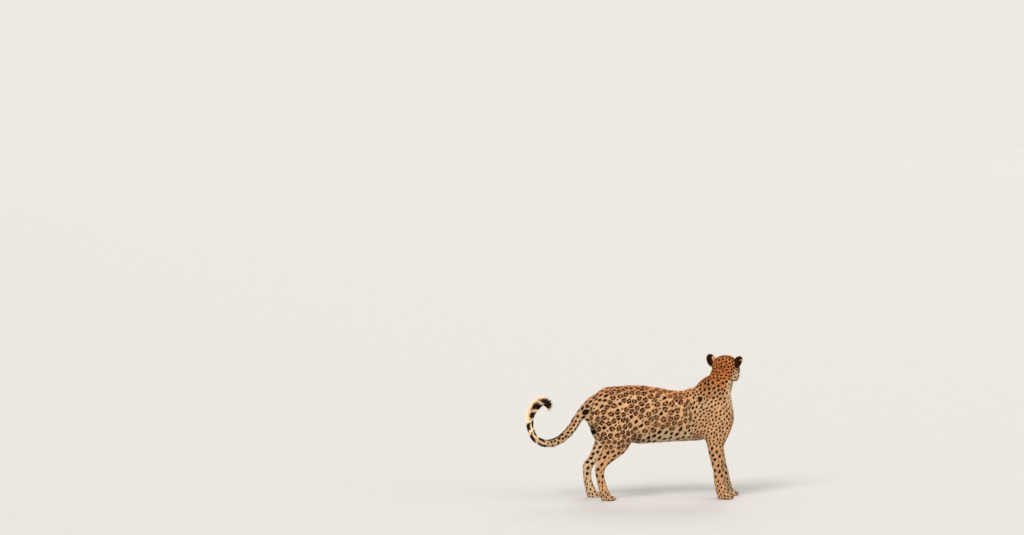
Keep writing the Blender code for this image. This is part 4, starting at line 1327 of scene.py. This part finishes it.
class Recipe:
    """A node tree being put together, for a material or for a group."""

    def __init__(self, tree: bpy.types.NodeTree) -> None:
        """Starts on a tree."""
        self.tree = tree

    def add(self, kind: str, **settings: object) -> bpy.types.Node:
        """A new node with its settings."""
        node = self.tree.nodes.new(kind)
        for name, value in settings.items():
            setattr(node, name, value)
        return node

    def feed(self, socket: Socket, source: object) -> None:
        """Links a socket to a node's output, or sets its value."""
        if isinstance(source, Socket):
            self.tree.links.new(source, socket)
        elif isinstance(source, tuple) and len(source) == 3 and socket.type == "RGBA":
            socket.default_value = (*source, 1.0)
        else:
            socket.default_value = source

    def attribute(self, name: str) -> Socket:
        """The value kept under a name at the piece's points."""
        return self.add("ShaderNodeAttribute", attribute_name=name).outputs["Fac"]

    def place(self) -> Socket:
        """The place on the piece."""
        return self.add("ShaderNodeTexCoord").outputs["Object"]

    def maths(self, operation: str, *values: object) -> Socket:
        """The outcome of one sum."""
        node = self.add("ShaderNodeMath", operation=operation)
        for socket, value in zip(node.inputs, values):
            self.feed(socket, value)
        return node.outputs[0]

    def mix(self, share: object, one: object, other: object, blend: str = "MIX") -> Socket:
        """One colour mixed into another.

        Args:
            share: How much of the other is taken.
            one: The first colour.
            other: The other colour.
            blend: How they are mixed.

        Returns:
            The mixed colour.
        """
        node = self.add("ShaderNodeMix", data_type="RGBA", blend_type=blend)
        for name, value in (("Factor_Float", share), ("A_Color", one), ("B_Color", other)):
            self.feed(next(s for s in node.inputs if s.identifier == name), value)
        return next(s for s in node.outputs if s.identifier == "Result_Color")

    def ramp(self, value: object, low: float, high: float, to_low: float = 0.0,
             to_high: float = 1.0) -> Socket:
        """A value eased from one range to another."""
        node = self.add("ShaderNodeMapRange", interpolation_type="SMOOTHSTEP")
        for socket, given in zip(node.inputs, (value, low, high, to_low, to_high)):
            self.feed(socket, given)
        return node.outputs[0]

    def noise(self, scale: float, detail: float) -> Socket:
        """Noise from 0 to 1 over the piece."""
        node = self.add("ShaderNodeTexNoise")
        for name, value in (("Vector", self.place()), ("Scale", scale), ("Detail", detail)):
            self.feed(node.inputs[name], value)
        return node.outputs[0]

    def bump(self, height: object, distance: float) -> Socket:
        """The normal of a surface raised by a height."""
        node = self.add("ShaderNodeBump")
        self.feed(node.inputs["Height"], height)
        self.feed(node.inputs["Distance"], distance)
        return node.outputs[0]

    def wear(self, **finish: object) -> None:
        """Feeds the material's shader: each input is named in lower case, with _ between its words."""
        shader = self.tree.nodes["Principled BSDF"]
        for socket in shader.inputs:
            name = socket.name.lower().replace(" ", "_")
            if name in finish:
                self.feed(socket, finish[name])


def material_of(name: str) -> tuple[Material, Recipe]:
    """A new material with its recipe."""
    material = bpy.data.materials.new(name)
    material.use_nodes = True
    return material, Recipe(material.node_tree)


@dataclass(frozen=True)
class Horn:
    """Smooth streaked horn, as of whiskers and claws."""

    name: str
    grain: float  # how fine its streaks are
    detail: float
    light: tuple
    dark: tuple
    roughness: float

    def material(self) -> Material:
        """Builds the material."""
        material, recipe = material_of(self.name)
        streak = recipe.ramp(recipe.noise(self.grain, self.detail), 0.3, 0.7)
        recipe.wear(base_color=recipe.mix(streak, self.light, self.dark), roughness=self.roughness)
        return material


WHISKER_HORN = Horn("Whisker", 180.0, 1.0, (0.86, 0.82, 0.74), (0.74, 0.68, 0.58), 0.38)
CLAW_HORN = Horn("Claw horn", 420.0, 2.0, (0.22, 0.16, 0.11), (0.07, 0.048, 0.035), 0.30)


@dataclass(frozen=True)
class NoseLeather:
    """Pink-brown leather with a fine pebbled grain, painted near black in the nostrils as the shade within
    them.
    """

    pink: tuple = (0.30, 0.105, 0.075)
    brown: tuple = (0.10, 0.040, 0.032)
    # painted shade: the near black within the nostrils
    nostril: tuple = (0.006, 0.003, 0.003)

    def material(self) -> Material:
        """Builds the material."""
        material, recipe = material_of("Nose leather")
        pebbles = recipe.add("ShaderNodeTexVoronoi")
        recipe.feed(pebbles.inputs["Vector"], recipe.place())
        recipe.feed(pebbles.inputs["Scale"], 900.0)
        mottle = recipe.ramp(recipe.noise(130.0, 3.0), 0.35, 0.70)
        leather = recipe.mix(mottle, self.pink, self.brown)
        # Painted shade: the nostrils near black, as the dark within them.
        leather = recipe.mix(recipe.attribute("hole"), leather, self.nostril)
        recipe.wear(base_color=leather, roughness=0.42,
                    normal=recipe.bump(pebbles.outputs["Distance"], 0.0004))
        return material


@dataclass(frozen=True)
class EyePaint:
    """The eye's paint: iris, pupil and dark rim under a clear wet coat."""

    iris_reach: float = math.radians(40)  # of the iris's rim from the line of sight
    pupil_reach: float = math.radians(15)
    gold: tuple = (0.300, 0.170, 0.022)  # of the iris, by the pupil
    olive: tuple = (0.230, 0.190, 0.048)  # by its rim
    streak: tuple = (0.095, 0.048, 0.008)
    rim: tuple = (0.012, 0.008, 0.005)
    white: tuple = (0.20, 0.13, 0.10)
    pupil: tuple = (0.002, 0.002, 0.002)

    def material(self) -> Material:
        """Builds the material."""
        material, recipe = material_of("Eye")
        away = recipe.attribute("from_sight")
        streaks = recipe.add("ShaderNodeTexNoise")
        around = recipe.add("ShaderNodeAttribute", attribute_name="round_sight").outputs["Vector"]
        recipe.feed(streaks.inputs["Vector"], around)
        recipe.feed(streaks.inputs["Scale"], 9.0)
        colour = recipe.mix(recipe.ramp(away, self.pupil_reach, self.iris_reach), self.gold, self.olive)
        colour = recipe.mix(recipe.ramp(streaks.outputs[0], 0.35, 0.70, 0.0, 0.6), colour, self.streak)
        for begins, full, paint in (
            (self.iris_reach - 0.13, self.iris_reach, self.rim),
            (self.iris_reach + 0.06, self.iris_reach + 0.16, self.white),
            (self.pupil_reach, self.pupil_reach - 0.03, self.pupil),
        ):
            colour = recipe.mix(recipe.ramp(away, begins, full), colour, paint)
        recipe.wear(base_color=colour, roughness=0.25, specular_ior_level=0.05, coat_weight=1.0,
                    coat_roughness=0.01)
        return material


@dataclass(frozen=True)
class CoatColours:
    """The shades of a leopard's hair, as a group that the skin and the coat both use."""

    buff: tuple = (0.850, 0.515, 0.275)
    rufous: tuple = (0.650, 0.222, 0.055)
    cream: tuple = (0.920, 0.690, 0.440)
    core: tuple = (0.66, 0.43, 0.25)  # what a rosette's middle keeps of its ground
    black: tuple = (0.0150, 0.0040, 0.0010)
    black_tip: float = 1.6  # how much lighter black hair is at its tips than at its roots, which are darkened as painted shade, as for the ground
    leather: tuple = (0.030, 0.018, 0.015)
    patches: tuple = (0.90, 1.07)  # how dark and how light the ground is in soft patches
    root_to_tip: tuple = (0.72, 1.10)  # how light hair is at its root and at its tip: partly painted shade, darkening the roots as if the tufts over them shaded them, partly the hair's own lighter tips
    strands: float = 0.34  # how much that differs from tuft to tuft
    frayed: float = 0.30  # how far the markings' edges fray

    def group(self) -> bpy.types.NodeTree:
        """Builds the group."""
        tree = bpy.data.node_groups.new("Leopard colours", "ShaderNodeTree")
        for name in ("Rufous", "Pale", "Dark", "Core", "Bare", "Tip", "Shade"):
            tree.interface.new_socket(name, in_out="INPUT", socket_type="NodeSocketFloat")
        tree.interface.new_socket("Colour", in_out="OUTPUT", socket_type="NodeSocketColor")
        recipe = Recipe(tree)
        given = recipe.add("NodeGroupInput").outputs
        ground = recipe.mix(given["Rufous"], self.buff, self.rufous)
        ground = recipe.mix(given["Pale"], ground, self.cream)
        patchy = recipe.ramp(recipe.noise(22.0, 3.0), 0.30, 0.70, *self.patches)
        ground = recipe.mix(1.0, ground, patchy, "MULTIPLY")
        ground = recipe.mix(given["Core"], ground, recipe.mix(1.0, ground, self.core, "MULTIPLY"))
        strand = recipe.maths("MULTIPLY", recipe.maths("SUBTRACT", given["Shade"], 0.5), self.strands)
        # Painted shade: hair is darker towards its roots, as if shaded by the tufts over it, and lighter at
        # its tips, partly by its own bands; each tuft also differs a little at random.
        lighter = recipe.maths("ADD", recipe.ramp(given["Tip"], 0.0, 1.0, *self.root_to_tip), strand)
        ground = recipe.mix(1.0, ground, lighter, "MULTIPLY")
        fray = recipe.maths("SUBTRACT", recipe.noise(420.0, 1.0), 0.5)
        edge = recipe.maths("ADD", given["Dark"], recipe.maths("MULTIPLY", fray, self.frayed))
        # Black hair is also painted darker at its roots, as shade.
        black = recipe.mix(given["Tip"], self.black, tuple(self.black_tip * c for c in self.black))
        colour = recipe.mix(recipe.ramp(edge, 0.43, 0.57), ground, black)
        colour = recipe.mix(given["Bare"], colour, self.leather)
        recipe.feed(recipe.add("NodeGroupOutput").inputs["Colour"], colour)
        return tree


@dataclass(frozen=True)
class Hair:
    """What the skin wears, or the tufts that stand on it."""

    name: str
    loose: bool  # whether it is for tufts, which know their tips and have shades of their own
    roughness: float

    def material(self, colours: bpy.types.NodeTree) -> Material:
        """Builds the material from the group of the coat's colours."""
        material, recipe = material_of(self.name)
        group = recipe.add("ShaderNodeGroup", node_tree=colours)
        for value in ("Rufous", "Pale", "Dark", "Core", "Bare"):
            recipe.feed(group.inputs[value], recipe.attribute(value.lower()))
        # The skin reads as hair low on a tuft, darker than the tips: partly its own darker undercoat, partly
        # painted shade where it shows between the tufts.
        for value, plain in (("Tip", 0.25), ("Shade", 0.5)):
            recipe.feed(group.inputs[value], recipe.attribute(value.lower()) if self.loose else plain)
        recipe.wear(base_color=group.outputs["Colour"], roughness=self.roughness, specular_ior_level=0.12)
        if not self.loose:
            height = recipe.maths("ADD", recipe.noise(900.0, 2.0), recipe.noise(260.0, 2.0))
            recipe.wear(normal=recipe.bump(height, 0.0009))
        return material


# ---- The coat ----


def unwrapped(points: Array, faces: Array) -> Array:
    """An unwrap of some triangles of the skin, by its own shape.

    Args:
        points: The skin's points.
        faces: The triangles.

    Returns:
        Each corner's place on the map, in rows of three corners.
    """
    used, numbers = np.unique(faces, return_inverse=True)
    mesh = mesh_from("unwrap", points[used], numbers.reshape(-1, 3))
    piece = linked("unwrap", mesh)
    bpy.context.view_layer.objects.active = piece
    mesh.uv_layers.new(name="Map")
    bpy.ops.object.mode_set(mode="EDIT")
    bpy.ops.mesh.select_all(action="SELECT")
    bpy.ops.uv.smart_project(angle_limit=math.radians(66), island_margin=0.004, scale_to_bounds=True)
    bpy.ops.object.mode_set(mode="OBJECT")
    places = np.empty(len(mesh.loops) * 2, np.float32)
    mesh.uv_layers["Map"].uv.foreach_get("vector", places)
    bpy.data.objects.remove(piece)
    bpy.data.meshes.remove(mesh)
    return places.reshape(-1, 3, 2)


@dataclass(frozen=True)
class CoatPiece:
    """One part of the coat: the nodes whose skin it grows on, and the name of a slot for it."""

    name: str
    nodes: tuple
    slot: str = "coat"
    ahead_of: float = -1.0  # only on skin farther forward in the head than this
    behind: float = 1.0  # only on skin farther back in the head than this


COAT_PIECES = (
    CoatPiece("coat_of_face", ("head",), "rufous_coat", ahead_of=0.030),
    CoatPiece("coat_of_crown", ("head",), "rufous_coat", behind=0.030),
    CoatPiece("coat_of_ears", ("ear",), "ear_back"),
    CoatPiece("coat_of_neck", ("neck",), "rufous_coat"),
    CoatPiece("coat_of_chest", ("chest",)),
    CoatPiece("coat_of_shoulders", ("shoulder",)),
    CoatPiece("coat_of_belly", ("belly",), "pale_coat"),
    CoatPiece("coat_of_rump", ("rump",)),
    CoatPiece("coat_of_thighs", ("thigh",)),
    CoatPiece("coat_of_forelegs", ("forearm",)),
    CoatPiece("coat_of_hindlegs", ("shank",)),
    CoatPiece("coat_of_paws", ("forepaw", "hindpaw")),
    CoatPiece("coat_of_tail", ("tail",)),
)


@dataclass
class Coat:
    """Tufts over the whole skin: thin closed spindles that lie with the hair and overlap."""

    skin: Skin
    markings: Markings
    brush: float = 0.18  # how far from the tail's tip the hair is longer
    brush_rise: float = 0.0085  # and by how much deeper
    brush_longer: float = 1.3 * 0.0085
    lining_rise: float = 0.0028  # the same for the inner edges of the ears
    lining_longer: float = 1.9  # as a share of the length that the hair has round them
    patch: float = 0.003  # a tuft's width on the coat's map
    sway: float = math.radians(11)  # how far a tuft may turn from the lie of the hair
    rooted: float = 0.0006  # how deep a tuft's root is set in the skin
    belly_at: float = 0.42  # how far along a tuft it is widest
    thickness: float = 0.34  # of a tuft, of its width
    arch: float = 1.15  # how much higher a tuft's middle is than a straight one's
    tip_rise: float = 0.95  # and its tip
    lengths: tuple = (0.72, 1.22)  # how uneven the tufts are
    widths: tuple = (0.75, 1.25)
    rises: tuple = (0.55, 1.05)
    corners: int = 5  # of a tuft: its root, three round its belly, its tip
    tip_values: tuple = (0.0, 0.55, 0.55, 0.60, 1.0)  # how near the tip each of them is
    on_map: tuple = ((0, -1), (1, 0.1), (-1, 0.1), (0, 0.3), (0, 1))  # where each is on its patch

    def build(self, material: Material) -> None:
        """Grows every piece of the coat."""
        rng = np.random.default_rng(SEED + 1)
        measures = {name: self.skin.grown(name, 24) for name in ("depth", "length", "width", "room")}
        fine = fineness(self.skin.surface.points)
        for name, power in (("depth", 1.0), ("length", 1.0), ("width", 0.6), ("room", 1.4)):
            measures[name] = measures[name] * fine ** power
        brush = ease(self.brush, 0.4 * self.brush, self.skin.way.max() - self.skin.way)
        measures["depth"] += self.brush_rise * brush
        measures["length"] += self.brush_longer * brush
        lining = self.lining()
        measures["length"] *= 1 + self.lining_longer * lining
        measures["depth"] += self.lining_rise * lining
        faces = self.skin.surface.faces
        head = HEAD.own(self.skin.surface.points)[faces[:, 0], 0]
        area = self.skin.surface.areas()
        for plan in COAT_PIECES:
            mine = named(*plan.nodes)[self.skin.node[faces[:, 0]]]
            mine &= (head > plan.ahead_of) & (head < plan.behind)
            weight = mine / measures["room"][faces].mean(1)
            number = int((area * weight).sum())
            places, face, share = scattered(self.skin, weight, number, rng)
            own = {name: (values[faces[face]] * share).sum(1) for name, values in measures.items()}
            piece = self.grow(plan, places, own, face, share, mine, rng, material)
            LOG.info("%s: %d tufts", plan.name, len(piece.data.polygons) // 6)

    def lining(self) -> Array:
        """How much each point of the skin is of the ears' inner edges, where the hair is long."""
        points, normals = self.skin.surface.points, self.skin.surface.normals()
        much = np.zeros(len(points))
        for word, side in SIDES.items():
            mine = named(f"ear_{word}")[self.skin.node]
            ear, facing = HEAD.in_ear(side, points[mine], normals[mine])
            inner_edge = ease(0.000, 0.016, -side * ear[:, 1]) * ease(0.028, 0.012, ear[:, 2])
            much[mine] = ease(0.2, 0.6, facing[:, 0]) * inner_edge
        return self.skin.surface.evened(much, 3)

    def grow(self, plan: CoatPiece, places: Places, own: dict[str, Array], face: Array, share: Array,
             mine: Array, rng: np.random.Generator, material: Material) -> Piece:
        """Makes one piece of the coat.

        Args:
            plan: What the piece is.
            places: The tufts' roots.
            own: Each tuft's measures by name.
            face: The skin's triangle that each root is on.
            share: Each root's shares of that triangle's corners.
            mine: The skin's triangles that the piece grows on.
            rng: The source of chance.
            material: What it is dressed in.

        Returns:
            The piece.
        """
        number = len(places.at)
        length = own["length"] * rng.uniform(*self.lengths, number)
        width = own["width"] * rng.uniform(*self.widths, number)
        turn = self.sway * rng.normal(size=number) + 0.16 * ripple(places.at, 0.030, 21)
        aside = np.cross(places.normal, places.lie)
        along = places.lie * np.cos(turn)[:, None] + aside * np.sin(turn)[:, None]
        aside = np.cross(places.normal, along)
        rise = np.clip(own["depth"] / own["length"], 0.05, 0.6) * rng.uniform(*self.rises, number)
        rise *= 1 + 0.20 * ripple(places.at, 0.022, 22)
        read = Places(places.at + along * (0.45 * length)[:, None], places.normal, places.lie, places.node)
        values = self.markings.read(read)

        def spot(ahead: float, above: Array, sideways: float) -> Array:
            """A corner of each tuft: how far along its length, how high, and how far to its side."""
            return (places.at + along * (length * ahead)[:, None] + places.normal * above[:, None]
                    + aside * (width * sideways)[:, None])

        belly = length * self.belly_at * rise * self.arch
        points = np.stack([
            spot(0, np.full(number, -self.rooted), 0),
            spot(self.belly_at, belly, 0.5),
            spot(self.belly_at, belly, -0.5),
            spot(self.belly_at, belly + self.thickness * width, 0),
            spot(0.97, length * rise * self.tip_rise, 0),
        ], axis=1)
        keep = (values["bare"] < 0.5) & (points[:, :, 2].min(axis=1) > 0)
        points = points[keep]
        kept = len(points)
        shape = np.array([[0, 3, 1], [0, 2, 3], [0, 1, 2], [4, 1, 3], [4, 3, 2], [4, 2, 1]])
        faces = (shape[None] + self.corners * np.arange(kept)[:, None, None]).reshape(-1, 3)
        mesh = mesh_from(plan.name, points.reshape(-1, 3), faces)
        for name, row in values.items():
            keep_values(mesh, name, np.repeat(row[keep], self.corners))
        keep_values(mesh, "shade", np.repeat(rng.random(kept), self.corners))
        keep_values(mesh, "tip", np.tile(self.tip_values, kept))
        self.map(mesh, face[keep], share[keep], mine)
        return shown(mesh, material)

    def map(self, mesh: Mesh, face: Array, share: Array, mine: Array) -> None:
        """Gives a piece its map: each tuft a small patch at its root's place on the unwrapped skin."""
        surface = self.skin.surface
        flat = unwrapped(surface.points, surface.faces[mine])
        row = np.cumsum(mine) - 1
        root = (flat[row[face]] * share[:, :, None]).sum(1)
        half = self.patch / 2
        root = np.clip(root, half, 1 - half)
        points = (root[:, None] + np.array(self.on_map) * half).reshape(-1, 2)
        corners = np.empty(len(mesh.loops), np.int32)
        mesh.loops.foreach_get("vertex_index", corners)
        layer = mesh.uv_layers.new(name="OFBake")
        layer.uv.foreach_set("vector", points[corners].astype(np.float32).ravel())


# ---- Eyes and nose ----


@dataclass(frozen=True)
class Eyes:
    """The two eyes: glossy balls, each with a cornea that stands out a little."""

    rounds: int = 56
    rings: int = 44
    cornea_rise: float = 0.0011
    cornea_reach: float = math.radians(48)  # from the line of sight

    def build(self, material: Material) -> None:
        """Makes both eyes."""
        for word, side in SIDES.items():
            shape = bmesh.new()
            bmesh.ops.create_uvsphere(shape, u_segments=self.rounds, v_segments=self.rings,
                                      radius=HEAD.eye_radius)
            bmesh.ops.rotate(shape, matrix=Matrix.Rotation(math.pi / 2, 3, "Y"), verts=shape.verts)
            away = []
            for point in shape.verts:
                away.append(point.co.angle(Vector((1, 0, 0))))
                bulge = max(0.0, 1 - (away[-1] / self.cornea_reach) ** 2)
                point.co *= 1 + self.cornea_rise / HEAD.eye_radius * bulge ** 1.5
            rim = np.array([(point.co.y, point.co.z, 0) for point in shape.verts])
            bmesh.ops.transform(shape, matrix=HEAD.eye(side), verts=shape.verts)
            mesh = mesh_of(shape, f"eyeball_{word}")
            mesh.shade_smooth()
            keep_values(mesh, "from_sight", np.array(away))
            keep_values(mesh, "round_sight", unit(rim))
            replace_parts(shown(mesh, material), f"eye_{word}")


@dataclass(frozen=True)
class Nose:
    """The bare leather of the nose, broad above and narrow below, with its two nostrils."""

    half_low: float = 0.0085  # half its width, at the bottom and at the top
    half_high: float = 0.0190
    half_high_at: float = 0.45
    height: float = 0.0125  # half of it
    depth: float = 0.0108
    slant: float = 0.0035  # how far its top lies back
    wing_rise: float = 0.0012  # the wings beside the nostrils, their middles and widths
    wing_aside: tuple = (0.0125, 0.004)
    wing_above: tuple = (0.0035, 0.0035)
    parting_depth: float = 0.0013  # the groove between the nostrils
    parting_width: float = 0.0011
    nostril: tuple = (  # circles along the slit: aside, above, radius
        (0.0070, -0.0034, 0.0022), (0.0100, -0.0028, 0.0029), (0.0132, -0.0006, 0.0022),
        (0.0160, 0.0026, 0.0011),
    )
    steps: int = 25  # of circles along it
    nostril_depth: float = 0.0058

    def build(self, material: Material) -> None:
        """Makes the nose."""
        shape = bmesh.new()
        bmesh.ops.create_icosphere(shape, subdivisions=6, radius=1)
        ball, faces = mesh_arrays(mesh_of(shape, "ball"))
        points, hole = self.shaped(ball)
        mesh = mesh_from("nose_leather", turned(HEAD.nose(), points), faces)
        keep_values(mesh, "hole", hole)
        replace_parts(shown(mesh, material), "nose")

    def shaped(self, ball: Array) -> tuple[Array, Array]:
        """The nose's points from those of a ball, and how deep in a nostril each one is."""
        half = self.half_low + (self.half_high - self.half_low) * ease(-0.95, self.half_high_at, ball[:, 2])
        y, z = half * ball[:, 1], self.height * ball[:, 2]
        x = self.depth * ball[:, 0] - self.slant * ease(0.25, 1.0, ball[:, 2])
        front = ease(0.0, 0.25, ball[:, 0])
        x += self.wing_rise * front * bell(np.abs(y), *self.wing_aside) * bell(z, *self.wing_above)
        x -= self.parting_depth * front * bell(y, 0, self.parting_width) * ease(0.003, -0.005, z)
        circles = stepped(np.array(self.nostril), self.steps)
        gap = np.hypot(np.abs(y)[:, None] - circles[:, 0], z[:, None] - circles[:, 1]) - circles[:, 2]
        gap = gap.min(axis=1)
        x -= self.nostril_depth * front * ease(0.0007, -0.0018, gap)
        return np.stack([x, y, z], axis=1), front * ease(0.0002, -0.0012, gap)


@dataclass(frozen=True)
class Claws:
    """The drawn-in claws, of which only the tips show before the toes."""

    profile: tuple = (  # ahead, above and half as thick, from root to tip
        (0.0080, 0.0150, 0.0018), (0.0150, 0.0138, 0.0018), (0.0197, 0.0102, 0.0013),
        (0.0217, 0.0056, 0.0003),
    )
    steps: int = 10
    sides: int = 10

    def build(self, material: Material) -> None:
        """Makes the claws of each paw."""
        ahead, above, radius = stepped(np.array(self.profile), self.steps).T
        for name, place in PAWS.places().items():
            paths = [turned(place, np.stack([x + ahead, np.full(self.steps, y), above], axis=1))
                     for y, x in PAWS.toes]
            radii = np.tile(radius * place.to_scale()[0], (len(paths), 1))
            shown(rods(f"claws_{name}", np.array(paths), radii, self.sides), material)


# ---- The studio ----


@dataclass(frozen=True)
class Studio:
    """A plain pale floor, soft light and the camera."""

    floor_reach: float = 90.0
    floor_colour: tuple = (0.42, 0.412, 0.402)
    sky_colour: tuple = (0.911, 0.884, 0.832)
    sky_strength: float = 0.93
    warm: tuple = (1.0, 0.95, 0.88)
    white: tuple = (1.0, 1.0, 1.0)
    suns: tuple = (  # name, strength, and in degrees: how soft, how far tilted and how far round
        ("key", 3.1, 24, 48, -35), ("fill", 1.1, 50, 62, 70), ("back", 1.1, 30, 55, 165),
    )
    distance: float = 18.0  # from the camera to its aim on the floor
    azimuth: float = math.radians(-8)
    height: float = 2.34  # of the camera
    sensor: float = 36.0
    lens: float = 113.90625
    down: float = 0.0584220  # how far below the horizon it looks, in radians
    left: float = 0.0456474  # and how far to the left of its aim
    aim: tuple = (0.2343, 0.2112)  # ahead and to the right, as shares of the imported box's half sizes
    clear_to: float = 300.0

    def build(self) -> None:
        """Sets up the studio."""
        self.floor()
        self.light()
        self.camera()

    def floor(self) -> None:
        """A wide floor."""
        shape = bmesh.new()
        bmesh.ops.create_circle(shape, cap_ends=True, segments=64, radius=self.floor_reach)
        material, recipe = material_of("Floor")
        tone = recipe.ramp(recipe.noise(6.0, 2.0), 0.3, 0.7, 0.985, 1.0)
        recipe.wear(base_color=recipe.mix(1.0, self.floor_colour, tone, "MULTIPLY"), roughness=0.9)
        floor = linked("floor", mesh_of(shape, "floor"))
        floor.data.materials.append(material)

    def light(self) -> None:
        """A soft warm key from the upper left, a weaker fill and an even sky."""
        world = bpy.data.worlds.new("Studio")
        bpy.context.scene.world = world
        world.use_nodes = True
        backdrop = world.node_tree.nodes["Background"]
        backdrop.inputs["Color"].default_value = (*self.sky_colour, 1)
        backdrop.inputs["Strength"].default_value = self.sky_strength
        for name, strength, spread, tilt, turn in self.suns:
            lamp = bpy.data.lights.new(name, "SUN")
            lamp.energy, lamp.angle = strength, math.radians(spread)
            lamp.color = self.warm if name == "key" else self.white
            linked(name, lamp).rotation_euler = (math.radians(tilt), 0, math.radians(turn))

    def camera(self) -> None:
        """The camera, low and far away, looking over the animal at the horizon."""
        level = Vector((-math.sin(self.azimuth), math.cos(self.azimuth), 0))
        low, high = CAD_BOX
        target = Vector((high[0] * self.aim[0], low[1] * self.aim[1], 0))
        ahead = Matrix.Rotation(self.left, 3, "Z") @ level * math.cos(self.down)
        ahead -= Vector((0, 0, math.sin(self.down)))
        data = bpy.data.cameras.new("camera")
        data.sensor_width, data.lens, data.clip_end = self.sensor, self.lens, self.clear_to
        camera = linked("camera", data)
        camera.location = target - level * self.distance + Vector((0, 0, self.height))
        camera.rotation_euler = ahead.to_track_quat("-Z", "Y").to_euler()
        bpy.context.scene.camera = camera
        bpy.context.scene.view_settings.view_transform = "Standard"


def main() -> None:
    """Builds the leopard and its studio in order."""
    logging.basicConfig(level=logging.INFO, format="%(message)s")
    skin = Skin()
    skin.build()
    surface = skin.surface
    markings = Markings(skin)
    markings.build()
    LOG.info("markings: %d", len(markings.own))
    colours = CoatColours().group()
    mesh = mesh_from("skin", surface.points, surface.faces)
    for name, row in markings.read(skin.places()).items():
        keep_values(mesh, name, row)
    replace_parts(shown(mesh, Hair("Skin", False, 0.78).material(colours)), *FLESH)
    LOG.info("skin: %d triangles", len(surface.faces))
    Coat(skin, markings).build(Hair("Coat", True, 0.62).material(colours))
    Eyes().build(EyePaint().material())
    LOG.info("eyes: %d", len(SIDES))
    Nose().build(NoseLeather().material())
    LOG.info("nose: 1")
    WHISKERS.build(surface, WHISKER_HORN.material())
    Claws().build(CLAW_HORN.material())
    LOG.info("claws: on %d paws", len(PAWS.places()))
    Studio().build()


if __name__ == "__main__":
    main()
